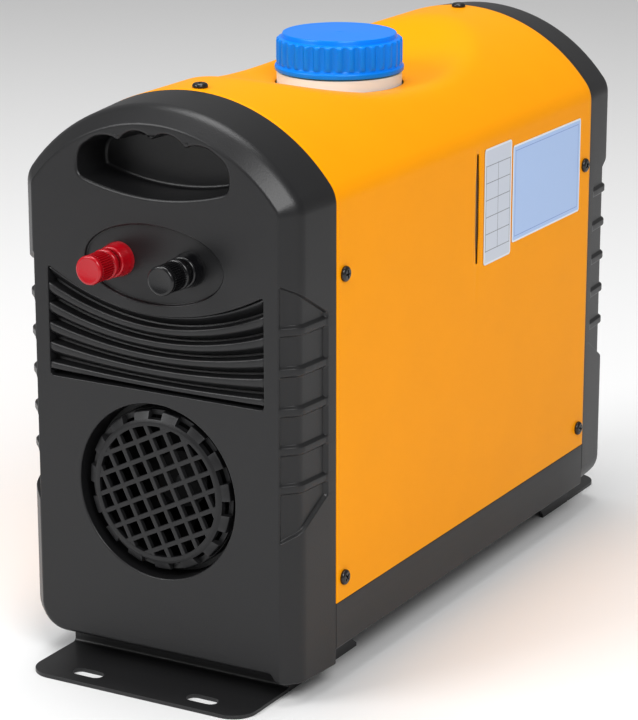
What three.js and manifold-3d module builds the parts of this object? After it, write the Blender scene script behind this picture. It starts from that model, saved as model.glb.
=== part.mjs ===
// Portable diesel air heater: a yellow sheet shell between two black end covers, a tray below,
// two sheet-metal feet, a fuel tank under the crown and a fan-fed burner along the middle.
// Millimetres, +Z up. X is the width, Y the length. The intake end faces -Y, the outlet end +Y.
// The origin is on the floor, under the middle of the heater.

import * as THREE from 'three';
import { mergeVertices } from 'three/addons/utils/BufferGeometryUtils.js';
import Module from 'manifold-3d';

const wasm = await Module();
wasm.setup();

// ---------------------------------------------------------------------------------------------
// Driving dimensions
// ---------------------------------------------------------------------------------------------

// Fits
const GAP = 0.3; // between pieces that sit in or beside each other
const HOLE_GAP = 0.3; // radial, round a screw or a pipe

// Housing outline
const BODY_WIDTH = 165;
const SHELL_LENGTH = 300.5;
const CROWN_TOP = 301.2;
const CROWN_RADIUS = 99.75;
const SHOULDER_RADIUS = 17.3;
const SHELL_BOTTOM = 44.5;
const SHELL_SHEET = 1.2;

// Filler dish: a shallow spherical bowl pressed into the crown
const DISH_RADIUS = 250;
const DISH_DEPTH = 22.8; // from the crown's top to the bowl's floor

// Fuel sight slot in the +X side
const SLOT_WIDTH = 3.6;
const SLOT_HEIGHT = 60.4;
const SLOT_TO_LABEL = 7.7; // from the slot's middle line to the small label's edge
const SLOT_Z = 218.2;

// End covers
const COVER_DEPTH = 38.4;
const COVER_CREASE = 29.95; // depth at which the bevel starts
const COVER_DRAFT = 2.3; // inset reached at the crease
const COVER_BOTTOM = 15.5;
const COVER_WALL = 3.5;
const TOE_DROP = 4;
const TOE_RAMP = 3;
const CORNER_ROUND = 14;
const LIP_LENGTH = 16;
const LIP_WALL = 2.2;

// Corner grips: a sunk pad round each upright corner, with raised ribs
const GRIP_DEPTH = 2;
const GRIP_TOP = 218;
const GRIP_BOTTOM = 87;
const GRIP_REACH = 30.15; // back from the end face
const GRIP_TAPER = 18; // how far the pad's top and bottom come in over that reach
const GRIP_RIBS = 5;
const GRIP_RIB_PITCH = 20.1;
const GRIP_RIB_HEIGHT = 5;
const GRIP_RIB_Z = 154.9; // the middle rib

// Handle pocket
const HANDLE_HALF = 43.9;
const HANDLE_LOW = 253.9;
const HANDLE_END_RISE = 6.5; // the lower edge at its ends, over its middle
const HANDLE_TOP = 282.7; // the cusp between the two middle finger lobes
const HANDLE_DEPTH = 25;
const POCKET_WALL = 2;

// Oval recess that carries the terminals, or the controller
const OVAL_HALF_WIDTH = 40.2;
const OVAL_HALF_HEIGHT = 20;
const OVAL_Z = 220.2;
const OVAL_DEPTH = 2;

// Wavy louvre panel
const LOUVRE_HALF = 63;
const LOUVRE_LOW = 153.8;
const LOUVRE_TOP = 194; // top edge at the middle
const LOUVRE_SAG = 18; // the top edge's ends, over its middle
const LOUVRE_DEPTH = 5;
const SLAT_COUNT = 5;
const SLAT_HEIGHT = 5;
const SLAT_SET_BACK = 0.6;
const VENT_HEIGHT = 1.8;

// Round intake and outlet openings
const DUCT_Z = 102.1;
const DUCT_RECESS_RADIUS = 46.05;
const DUCT_RECESS_DEPTH = 8;
const DUCT_RADIUS = 39;

// Intake grille
const GRILLE_RIM_RADIUS = 42;
const GRILLE_FACE_RADIUS = 36.5;
const GRILLE_MESH_RADIUS = 34.4;
const GRILLE_PITCH = 9.1;
const GRILLE_BAR = 2.6;
const GRILLE_TURN = 26.3; // degrees
const GRILLE_NOTCHES = 15;
const GRILLE_PLATE = 2.4;
const GRILLE_RIM_SET_BACK = 2.6;

// Tray and feet
const TRAY_BOTTOM = 19;
const TRAY_SHEET = 1.5;
const TRAY_FLANGE_TOP = 52;
const FOOT_SHEET = 2;
const FOOT_INSET = 17; // from the shell's side to the foot's
const FOOT_OVERHANG = 26.15; // beyond the end face
const RISER_OUT = 16.75; // from the shell's end
const FLANGE_IN = 32.25;
const FOOT_CORNER = 13;
const FOOT_SLOT_LENGTH = 18;
const FOOT_SLOT_WIDTH = 8;
const FOOT_SLOT_INSET = 30.9; // from the foot's side to the slot's middle
const FOOT_SLOT_MARGIN = 11.9; // from the foot's outer end
const FRONT_WING_IN = 52.25; // from the shell's end
const REAR_WING_IN = 16.25;

// Shell screws
const SCREW_HEAD_RADIUS = 4;
const SCREW_HEAD_HEIGHT = 2.4;
const SCREW_SHANK_RADIUS = 2;
const SCREW_LENGTH = 10;
const SCREW_INSET = 7.8; // from the shell's end
const SCREW_HIGH = 216;
const SCREW_LOW = 56.8;
const BOSS_RADIUS = 4.6;
const BOSS_LENGTH = 5;
const FOOT_SCREW_INSET = 25.5; // from the foot's side
const FOOT_SCREW_IN = 24.25; // from the shell's end

// Fuel tank and cap
const TANK_SIDE_GAP = 2.8; // to the shell's inner side
const TANK_END_GAP = 22.25; // to the shell's end
const TANK_TO_DISH = 8.4; // from the tank's top up to the bowl's floor
const TANK_WALL = 3;
const TANK_CORNER_DROP = 5.9174; // how far the upper corner's foot lies below the shell's shoulder
const COLLAR_RADIUS = 34;
const COLLAR_HEIGHT = 17.2; // over the tank's top
const NECK_RADIUS = 30.3;
const NECK_BORE = 27;
const NECK_HEIGHT = 15.8; // over the collar
const CAP_RADIUS = 34.3;
const CAP_BEAD = 35.04;
const CAP_TOP_RADIUS = 30.9;
const CAP_HEIGHT = 20.15;
const CAP_RIBS = 34;
const CAP_SKIRT_WALL = 3.2;
const LINER_THICKNESS = 1.5;

// Tank shelf
const SHELF_SHEET = 1.2;
const SHELF_ROOM = 3.3; // over the control unit
const SHELF_END_GAP = 25.25;
const SHELF_FLANGE = 20;

// Power terminals
const TERMINAL_X = 20.8;
const TERMINAL_Z = 220.5;
const STUD_RADIUS = 2.7;
const STUD_TIP = 20; // beyond the end face
const COLLAR_BASE_RADIUS = 9.6;
const COLLAR_NECK_RADIUS = 8;
const COLLAR_LENGTH = 9;
const KNOB_GAP = 1.8; // how far the knob can still be screwed in
const WASHER_RADIUS = 6;
const WASHER_THICKNESS = 1.2;
const KNOB_RADIUS = 7.4;
const KNOB_LENGTH = 16;
const KNOB_BORE_DEPTH = 13;

// Heater core
const CORE_SIDE_ROOM = 27.5; // to the shell's side
const CORE_HALF_HEIGHT = 55;
const CORE_CORNER = 38;
const CORE_WALL = 2.5;
const CORE_SET_BACK = 20.65; // behind the end faces
const CORE_OUTLET_RADIUS = 36;
const CORE_LEG_X = 28;
const CORE_LEG_IN = 72; // from the core's end
const OUTLET_CHAMBER = 50; // between the exchanger and the core's outlet end
const EXCHANGER_RADIUS = 33;
const EXCHANGER_BORE = 28;
const FIN_GAP = 4.5; // to the core's inner side
const FIN_COUNT = 14;
const FIN_THICKNESS = 2.2;
const FLANGE_RADIUS = 43;
const BURNER_FLANGE = 12;
const CHAMBER_RADIUS = 22;
const CHAMBER_WALL = 2;
const CHAMBER_LENGTH = 92;
const PLUG_RADIUS = 4;
const PLUG_REACH = 50;
const BLOWER_DEPTH = 18;
const BLOWER_PLATE = 4;
const MOTOR_RADIUS = 25;
const MOTOR_LENGTH = 32;
const SHAFT_RADIUS = 2.5;
const SHAFT_OVERHANG = 32;
const SHAFT_SET_BACK = 2; // inside the core's intake end
const FAN_RADIUS = 41;
const FAN_HUB_RADIUS = 15;
const FAN_DEPTH = 22;
const FAN_BLADES = 7;
const FAN_BLADE_WIDTH = 26;
const WHEEL_RADIUS = 35;
const WHEEL_BLADES = 12;

// Pipes below the tray
const PIPE_RADIUS = 12;
const PIPE_WALL = 2;
const PIPE_END = 8;
const EXHAUST_IN = 26; // from the exchanger's end

// Fuel pump and lines
const PUMP_RADIUS = 13;
const PUMP_SIDE_GAP = 19; // from the pump's axis to the shell's side
const PUMP_Z = 58;
const PUMP_LENGTH = 78;
const PUMP_Y = 30;
const PUMP_CLAMP_WALL = 3;
const PUMP_CLAMP_LENGTH = 16;
const LINE_RADIUS = 2.5;
const SPIGOT_RADIUS = 3.5;

// Control unit on top of the core
const UNIT_WIDTH = 60;
const UNIT_LENGTH = 90;
const UNIT_HEIGHT = 7;
const PAD_RISE = 1.4;

// Outlet ring and louvre
const RING_RADIUS = 38.6;
const RING_WALL = 3;
const RING_PROUD = 5.35; // beyond the end face
const VENT_LIP_RADIUS = 44;
const VENT_WALL = 2.2;
const VENT_DEPTH = 10;
const VENT_PROUD = 10.35;
const VENT_BLADES = 4;
const VENT_TILT = 25; // degrees

// Controller in the outlet end's oval
const PANEL_RISE = 1.5;
const PANEL_BOX_DEPTH = 9;
const SCREEN_WIDTH = 32;
const SCREEN_HEIGHT = 19;
const SCREEN_THICKNESS = 0.9;
const BUTTON_RADIUS = 3.5;
const BUTTON_PROUD = 1.3;
const BUTTON_LENGTH = 4.5;
const BUTTON_X = 25;
const BUTTON_Z = 6;
const BUTTON_TRAVEL = 1;

// Plain labels on the +X side
const LABEL_THICKNESS = 0.4;
const LABEL_END_GAP = 14.8; // from the large label to the shell's end
const LABEL_GAP = 1.95; // between the two labels
const SMALL_LABEL = { z: 217.1, width: 33, height: 64.3 };
const LARGE_LABEL = { z: 217.7, width: 88.5, height: 54.5 };

// Round resolution
const FINE = 30;
const MEDIUM = 16;
const COARSE = 8;

// ---------------------------------------------------------------------------------------------
// Values that follow from them
// ---------------------------------------------------------------------------------------------

const HALF_WIDTH = BODY_WIDTH / 2;
const SHELL_END = SHELL_LENGTH / 2;
const END_FACE = SHELL_END + COVER_DEPTH;
const DISH_FLOOR = CROWN_TOP - DISH_DEPTH;
const LARGE_LABEL_Y = SHELL_END - LABEL_END_GAP - LARGE_LABEL.width / 2;
const SMALL_LABEL_Y = LARGE_LABEL_Y - LARGE_LABEL.width / 2 - LABEL_GAP - SMALL_LABEL.width / 2;
const SLOT_Y = SMALL_LABEL_Y - SMALL_LABEL.width / 2 - SLOT_TO_LABEL;
const TRAY_FLOOR = TRAY_BOTTOM + TRAY_SHEET;
const FOOT_WIDTH = BODY_WIDTH - 2 * FOOT_INSET;
const FOOT_REACH = END_FACE + FOOT_OVERHANG;
const FOOT_RISER = SHELL_END + RISER_OUT;
const FOOT_FLANGE_END = SHELL_END - FLANGE_IN;
const FOOT_SLOT_X = FOOT_WIDTH / 2 - FOOT_SLOT_INSET;
const FOOT_SLOT_Y = FOOT_REACH - FOOT_SLOT_MARGIN;
const FRONT_WING_END = SHELL_END - FRONT_WING_IN;
const REAR_WING_END = SHELL_END - REAR_WING_IN;
const FOOT_SCREW_X = FOOT_WIDTH / 2 - FOOT_SCREW_INSET;
const FOOT_SCREW_Y = SHELL_END - FOOT_SCREW_IN;
const TOE_START = FOOT_WIDTH / 2 + GAP; // the toe hangs just outside the foot's wing
const LIP_INSET = Math.max(TRAY_SHEET, SHELL_SHEET) + GAP;
const SCREW_Y = SHELL_END - SCREW_INSET;
const SHOULDER_Z = CROWN_TOP - CROWN_RADIUS
  + Math.sqrt((CROWN_RADIUS - SHOULDER_RADIUS) ** 2 - (HALF_WIDTH - SHOULDER_RADIUS) ** 2);
const CORE_HALF_WIDTH = HALF_WIDTH - CORE_SIDE_ROOM;
const FIN_RADIUS = CORE_HALF_WIDTH - CORE_WALL - FIN_GAP;
const SHELF_TOP = DUCT_Z + CORE_HALF_HEIGHT + PAD_RISE + UNIT_HEIGHT + SHELF_ROOM + SHELF_SHEET;
const TANK_TOP = DISH_FLOOR - TANK_TO_DISH;
const TANK_CORNER = TANK_TOP - SHOULDER_Z + TANK_CORNER_DROP;
const COLLAR_TOP = TANK_TOP + COLLAR_HEIGHT;
const NECK_TOP = COLLAR_TOP + NECK_HEIGHT;
const TANK_WIDTH = BODY_WIDTH - 2 * (SHELL_SHEET + TANK_SIDE_GAP);
const TANK_LENGTH = SHELL_LENGTH - 2 * TANK_END_GAP;
const SHELF_LENGTH = SHELL_LENGTH - 2 * SHELF_END_GAP;
const CORE_END = END_FACE - CORE_SET_BACK;
const CORE_FLOOR = DUCT_Z - CORE_HALF_HEIGHT + CORE_WALL;
const CORE_LEG_Y = CORE_END - CORE_LEG_IN;
const SHAFT_START = -CORE_END + SHAFT_SET_BACK;
const MOTOR_START = SHAFT_START + SHAFT_OVERHANG;
const BLOWER_START = MOTOR_START + MOTOR_LENGTH;
const BURNER_START = BLOWER_START + BLOWER_DEPTH;
const EXCHANGER_START = BURNER_START + BURNER_FLANGE;
const EXCHANGER_END = CORE_END - OUTLET_CHAMBER;
const EXHAUST_Y = EXCHANGER_END - EXHAUST_IN;
const AIR_PIPE_Y = BLOWER_START + BLOWER_DEPTH / 2;
const PUMP_X = HALF_WIDTH - PUMP_SIDE_GAP;
const RING_END = END_FACE + RING_PROUD;
const VENT_END = END_FACE + VENT_PROUD;
const CAP_BOTTOM = NECK_TOP + LINER_THICKNESS + 3.35 - CAP_HEIGHT;
const CAP_CEILING = NECK_TOP + LINER_THICKNESS;
const COLLAR_FRONT = -(END_FACE - OVAL_DEPTH) - COLLAR_LENGTH;
const WASHER_FRONT = COLLAR_FRONT - KNOB_GAP - WASHER_THICKNESS;

// ---------------------------------------------------------------------------------------------
// Materials
// ---------------------------------------------------------------------------------------------

function paint(color, roughness, metalness = 0) {
  return new THREE.MeshStandardMaterial({ color, roughness, metalness });
}

const YELLOW_PAINT = paint(0xf8a500, 0.35);
const BLACK_PLASTIC = paint(0x3a3a3c, 0.6);
const BLACK_PAINT = paint(0x2c2c2e, 0.5, 0.2);
const BLACK_STEEL = paint(0x1c1c1e, 0.4, 0.6);
const BLUE_PLASTIC = paint(0x0082eb, 0.35);
const TANK_PLASTIC = paint(0xf0f0ea, 0.45);
const RED_PLASTIC = paint(0xb3121c, 0.3);
const GLOSS_BLACK = paint(0x151517, 0.25);
const PLATED_STEEL = paint(0xc8c8c8, 0.3, 1);
const CAST_ALUMINIUM = paint(0xb4b6b8, 0.5, 1);
const ALUMINIUM_SHEET = paint(0xc4c6c8, 0.4, 1);
const STAINLESS = paint(0xa8a49c, 0.35, 1);
const RUBBER = paint(0x1a1a1a, 0.85);
const GREY_PLASTIC = paint(0x77797c, 0.55);
const CERAMIC = paint(0xe6e0d2, 0.6);
const SCREEN_GLASS = paint(0x26343a, 0.1);
const WHITE_FILM = paint(0xe4e6ea, 0.4);
const BLUE_FILM = paint(0x86bde8, 0.4);
const FUEL_LINE = paint(0x2a2a26, 0.4);

// ---------------------------------------------------------------------------------------------
// Solids
// ---------------------------------------------------------------------------------------------

// A closed three.js geometry as a solid that can be joined and cut.
function solid(geometry) {
  const bare = geometry.clone();
  bare.deleteAttribute('normal');
  bare.deleteAttribute('uv');
  const merged = mergeVertices(bare, 1e-4);
  const index = merged.index.array;
  const kept = [];
  for (let i = 0; i < index.length; i += 3) {
    const [a, b, c] = [index[i], index[i + 1], index[i + 2]];
    if (a !== b && b !== c && c !== a) {
      kept.push(a, b, c);
    }
  }
  const mesh = new wasm.Mesh({
    numProp: 3,
    vertProperties: merged.attributes.position.array,
    triVerts: new Uint32Array(kept),
  });
  return new wasm.Manifold(mesh);
}

function join(first, ...others) {
  return others.reduce((sum, other) => sum.add(other), first);
}

function cut(first, ...others) {
  return others.reduce((rest, other) => rest.subtract(other), first);
}

function common(first, second) {
  return first.intersect(second);
}

// A box between two corners.
function block(x0, x1, y0, y1, z0, z1) {
  const geometry = new THREE.BoxGeometry(x1 - x0, y1 - y0, z1 - z0);
  geometry.translate((x0 + x1) / 2, (y0 + y1) / 2, (z0 + z1) / 2);
  return solid(geometry);
}

// Shape axes (x, z), extruded from y0 to y1.
function alongY(shape, y0, y1, curveSegments = 4) {
  const geometry = new THREE.ExtrudeGeometry(shape, { depth: y1 - y0, bevelEnabled: false, curveSegments });
  geometry.rotateX(Math.PI / 2);
  geometry.translate(0, y1, 0);
  return solid(geometry);
}

// Shape axes (y, z), extruded from x0 to x1.
function alongX(shape, x0, x1, curveSegments = 4) {
  const geometry = new THREE.ExtrudeGeometry(shape, { depth: x1 - x0, bevelEnabled: false, curveSegments });
  const turn = new THREE.Matrix4().makeBasis(
    new THREE.Vector3(0, 1, 0),
    new THREE.Vector3(0, 0, 1),
    new THREE.Vector3(1, 0, 0),
  );
  geometry.applyMatrix4(turn);
  geometry.translate(x0, 0, 0);
  return solid(geometry);
}

// Shape axes (x, y), extruded from z0 to z1.
function alongZ(shape, z0, z1, curveSegments = 4) {
  const geometry = new THREE.ExtrudeGeometry(shape, { depth: z1 - z0, bevelEnabled: false, curveSegments });
  geometry.translate(0, 0, z0);
  return solid(geometry);
}

// A round bar along Y, centred on (x, z).
function rodY(radius, y0, y1, x, z, segments = MEDIUM) {
  const geometry = new THREE.CylinderGeometry(radius, radius, y1 - y0, segments);
  geometry.translate(x, (y0 + y1) / 2, z);
  return solid(geometry);
}

function rodX(radius, x0, x1, y, z, segments = MEDIUM) {
  const geometry = new THREE.CylinderGeometry(radius, radius, x1 - x0, segments);
  geometry.rotateZ(Math.PI / 2);
  geometry.translate((x0 + x1) / 2, y, z);
  return solid(geometry);
}

function rodZ(radius, z0, z1, x, y, segments = MEDIUM) {
  const geometry = new THREE.CylinderGeometry(radius, radius, z1 - z0, segments);
  geometry.rotateX(Math.PI / 2);
  geometry.translate(x, y, (z0 + z1) / 2);
  return solid(geometry);
}

// A turned form about the Y axis. Each profile pair is [radius, y], from the axis and back to it.
function turned(profile, segments = MEDIUM) {
  const points = profile.map(([radius, y]) => new THREE.Vector2(radius, y));
  return solid(new THREE.LatheGeometry(points, segments));
}

// The same about an upright axis: each pair is [radius, z].
function turnedUpright(profile, segments = MEDIUM) {
  const points = profile.map(([radius, z]) => new THREE.Vector2(radius, z));
  const geometry = new THREE.LatheGeometry(points, segments);
  geometry.rotateX(Math.PI / 2);
  return solid(geometry);
}

// An outline's corner points, each once.
function outlinePoints(shape, divisions) {
  const points = [];
  shape.getPoints(divisions).forEach((point) => {
    const last = points[points.length - 1];
    if (!last || last.distanceTo(point) > 1e-4) {
      points.push(point);
    }
  });
  if (points[0].distanceTo(points[points.length - 1]) < 1e-4) {
    points.pop();
  }
  return points;
}

// A skin through outlines with equal numbers of points, each at its own depth towards -Y.
function loft(sections, start) {
  const rings = sections.map((section) => outlinePoints(section.shape, 4));
  const positions = [];
  sections.forEach((section, level) => {
    rings[level].forEach((point) => positions.push(point.x, start - section.depth, point.y));
  });
  const count = rings[0].length;
  const index = [];
  for (let level = 0; level + 1 < rings.length; level += 1) {
    for (let i = 0; i < count; i += 1) {
      const next = (i + 1) % count;
      const near = level * count;
      const far = near + count;
      index.push(near + i, near + next, far + next, near + i, far + next, far + i);
    }
  }
  const last = (rings.length - 1) * count;
  THREE.ShapeUtils.triangulateShape(rings[0], []).forEach(([a, b, c]) => index.push(c, b, a));
  THREE.ShapeUtils.triangulateShape(rings[rings.length - 1], []).forEach(([a, b, c]) => {
    index.push(last + a, last + b, last + c);
  });
  const geometry = new THREE.BufferGeometry();
  geometry.setAttribute('position', new THREE.Float32BufferAttribute(positions, 3));
  geometry.setIndex(index);
  return solid(geometry);
}

function ovalShape(halfWidth, halfHeight, z) {
  const shape = new THREE.Shape();
  shape.absellipse(0, z, halfWidth, halfHeight, 0, 2 * Math.PI, false, 0);
  return shape;
}

// The air channel's rounded section, moved in by an inset.
function coreSection(inset) {
  const shape = new THREE.Shape();
  const corner = CORE_CORNER - inset;
  const x = CORE_HALF_WIDTH - CORE_CORNER;
  const z = CORE_HALF_HEIGHT - CORE_CORNER;
  shape.absarc(x, DUCT_Z + z, corner, 0, Math.PI / 2);
  shape.absarc(-x, DUCT_Z + z, corner, Math.PI / 2, Math.PI);
  shape.absarc(-x, DUCT_Z - z, corner, Math.PI, Math.PI * 1.5);
  shape.absarc(x, DUCT_Z - z, corner, Math.PI * 1.5, Math.PI * 2);
  shape.closePath();
  return shape;
}

function polygon(points) {
  return new THREE.Shape(points.map(([u, v]) => new THREE.Vector2(u, v)));
}

function slotShape(length, width, u, v) {
  const shape = new THREE.Shape();
  const run = (length - width) / 2;
  shape.absarc(u + run, v, width / 2, -Math.PI / 2, Math.PI / 2);
  shape.absarc(u - run, v, width / 2, Math.PI / 2, Math.PI * 1.5);
  shape.closePath();
  return shape;
}

// ---------------------------------------------------------------------------------------------
// Housing
// ---------------------------------------------------------------------------------------------

// The arched outline, moved in by an inset: upright sides, shoulder arcs and a crown arc.
function archOutline(inset, bottom, round = 0, toe = 0) {
  const half = HALF_WIDTH - inset;
  const crown = CROWN_RADIUS - inset;
  const shoulder = Math.max(SHOULDER_RADIUS - inset, 1);
  const crownZ = CROWN_TOP - CROWN_RADIUS;
  const across = half - shoulder;
  const rise = Math.sqrt((crown - shoulder) ** 2 - across ** 2);
  const turn = Math.atan2(rise, across);
  const shape = new THREE.Shape();
  if (round > 0) {
    shape.absarc(-half + round, bottom + round, round, Math.PI, Math.PI * 1.5);
  } else {
    shape.moveTo(-half, bottom);
  }
  if (toe > 0) {
    shape.lineTo(TOE_START, bottom);
    shape.lineTo(TOE_START + TOE_RAMP, bottom - toe);
  }
  shape.lineTo(half, bottom - toe);
  shape.absarc(half - shoulder, crownZ + rise, shoulder, 0, turn);
  shape.absarc(0, crownZ, crown, turn, Math.PI - turn);
  shape.absarc(-half + shoulder, crownZ + rise, shoulder, Math.PI - turn, Math.PI);
  shape.closePath();
  return shape;
}

function dishCutter(sink) {
  const reach = 110;
  const radius = DISH_RADIUS + sink;
  const centre = DISH_FLOOR + DISH_RADIUS;
  const profile = [];
  const rings = 5;
  for (let i = 0; i <= rings; i += 1) {
    const r = (reach * i) / rings;
    profile.push([r, centre - Math.sqrt(radius ** 2 - r ** 2)]);
  }
  profile.push([reach, centre], [0, centre]);
  return turnedUpright(profile, FINE);
}

function shellScrewHoles(radius) {
  const holes = [];
  const reach = HALF_WIDTH + 1;
  for (const y of [-SCREW_Y, SCREW_Y]) {
    for (const z of [SCREW_LOW, SCREW_HIGH]) {
      holes.push(rodX(radius, -reach, reach, y, z, COARSE));
    }
    holes.push(rodZ(radius, CROWN_TOP - 3 * SCREW_LENGTH, CROWN_TOP + 1, 0, y, COARSE));
  }
  return holes;
}

function shell() {
  const full = alongY(archOutline(0, SHELL_BOTTOM), -SHELL_END, SHELL_END);
  const inside = alongY(archOutline(SHELL_SHEET, SHELL_BOTTOM - 10), -SHELL_END - 1, SHELL_END + 1);
  const dish = common(full, dishCutter(SHELL_SHEET));
  const neckHole = rodZ(COLLAR_RADIUS + 2 * GAP, DISH_FLOOR - 10, CROWN_TOP, 0, 0, FINE);
  const slot = alongX(slotShape(SLOT_HEIGHT, SLOT_WIDTH, 0, 0), HALF_WIDTH - 5, HALF_WIDTH + 5);
  const upright = slot.rotate([90, 0, 0]).translate([0, SLOT_Y, SLOT_Z]);
  const pressed = join(cut(full, inside), dish);
  return cut(pressed, dishCutter(0), neckHole, upright, ...shellScrewHoles(SCREW_SHANK_RADIUS + HOLE_GAP));
}

// An end cover's outer form, moved in by an inset all over but its open end.
function coverForm(inset, round, toe) {
  const bevelStart = COVER_CREASE - inset * Math.tan(Math.PI / 8);
  const end = COVER_DEPTH - inset;
  const crease = COVER_DRAFT + inset;
  const bottom = COVER_BOTTOM + inset;
  const sections = [
    { depth: 0, shape: archOutline(inset, bottom, round, toe) },
    { depth: bevelStart, shape: archOutline(crease, bottom, round, toe) },
    { depth: end, shape: archOutline(crease + end - bevelStart, bottom, round, toe) },
  ];
  return loft(sections, -SHELL_END);
}

// The lip that slides inside the shell and the tray, before it is hollowed.
function coverLip(inset, from, to) {
  const bottom = TRAY_FLOOR + GAP + (inset - LIP_INSET);
  return alongY(archOutline(inset, bottom), from, to);
}

function gripWindow() {
  const outer = END_FACE + 1;
  const inner = END_FACE - GRIP_REACH;
  const taper = (GRIP_TAPER * (outer - inner)) / GRIP_REACH;
  const edge = polygon([
    [-outer, GRIP_TOP],
    [-outer, GRIP_BOTTOM],
    [-inner, GRIP_BOTTOM + taper],
    [-inner, GRIP_TOP - taper],
  ]);
  const flatHalf = HALF_WIDTH - COVER_DRAFT - (COVER_DEPTH - COVER_CREASE);
  const sides = join(
    alongX(edge, flatHalf, HALF_WIDTH + 1),
    alongX(edge, -HALF_WIDTH - 1, -flatHalf),
  );
  const ribs = [];
  for (let i = 0; i < GRIP_RIBS; i += 1) {
    const z = GRIP_RIB_Z + (i - (GRIP_RIBS - 1) / 2) * GRIP_RIB_PITCH;
    const low = z - GRIP_RIB_HEIGHT / 2;
    ribs.push(block(-HALF_WIDTH - 2, HALF_WIDTH + 2, -outer - 1, -inner + 1, low, low + GRIP_RIB_HEIGHT));
  }
  return cut(sides, ...ribs);
}

// The handle's mouth: a shallow arc below, four finger lobes above.
function handleShape(grow) {
  const half = HANDLE_HALF + grow;
  const low = HANDLE_LOW - grow;
  const side = low + HANDLE_END_RISE + 3;
  const top = HANDLE_TOP + grow;
  const corner = 9;
  const outerCusp = 19.3;
  const lobeEnd = half - corner;
  const shape = new THREE.Shape();
  shape.moveTo(-half + 3, low + HANDLE_END_RISE);
  shape.quadraticCurveTo(0, low - HANDLE_END_RISE, half - 3, low + HANDLE_END_RISE);
  shape.quadraticCurveTo(half, low + HANDLE_END_RISE + 0.6, half, side + 2);
  shape.quadraticCurveTo(half, top - 5, lobeEnd, top - 3.6);
  shape.quadraticCurveTo((lobeEnd + outerCusp) / 2, top + 2, outerCusp, top - 2.5);
  shape.quadraticCurveTo(outerCusp / 2, top + 9, 0, top);
  shape.quadraticCurveTo(-outerCusp / 2, top + 9, -outerCusp, top - 2.5);
  shape.quadraticCurveTo(-(lobeEnd + outerCusp) / 2, top + 2, -lobeEnd, top - 3.6);
  shape.quadraticCurveTo(-half, top - 5, -half, side + 2);
  shape.quadraticCurveTo(-half, low + HANDLE_END_RISE + 0.6, -half + 3, low + HANDLE_END_RISE);
  return shape;
}

// A band across the louvre panel, between two sagging edges.
function sagBand(half, low, lowSag, high, highSag) {
  const shape = new THREE.Shape();
  shape.moveTo(-half, low + lowSag);
  shape.quadraticCurveTo(0, low - lowSag, half, low + lowSag);
  shape.lineTo(half, high + highSag);
  shape.quadraticCurveTo(0, high - highSag, -half, high + highSag);
  shape.closePath();
  return shape;
}

// The slats' curve fades from the panel's top edge to its straight bottom.
function slatBands(height, drop, half) {
  const bands = [];
  for (let i = 0; i < SLAT_COUNT; i += 1) {
    const share = (i + 1) / (SLAT_COUNT + 0.6);
    const top = LOUVRE_TOP + (LOUVRE_LOW - LOUVRE_TOP) * share - drop;
    const sag = LOUVRE_SAG * (1 - share);
    bands.push(sagBand(half, top - height, sag, top, sag));
  }
  return bands;
}

function louvreBlock(grow) {
  return sagBand(LOUVRE_HALF + grow, LOUVRE_LOW - grow, 0, LOUVRE_TOP + grow, LOUVRE_SAG);
}

function boss(side, y, z) {
  const inner = HALF_WIDTH - LIP_INSET - LIP_WALL;
  const from = side > 0 ? inner - BOSS_LENGTH : -inner - 0.5;
  const to = side > 0 ? inner + 0.5 : -inner + BOSS_LENGTH;
  return rodX(BOSS_RADIUS, from, to, y, z, COARSE);
}

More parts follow.
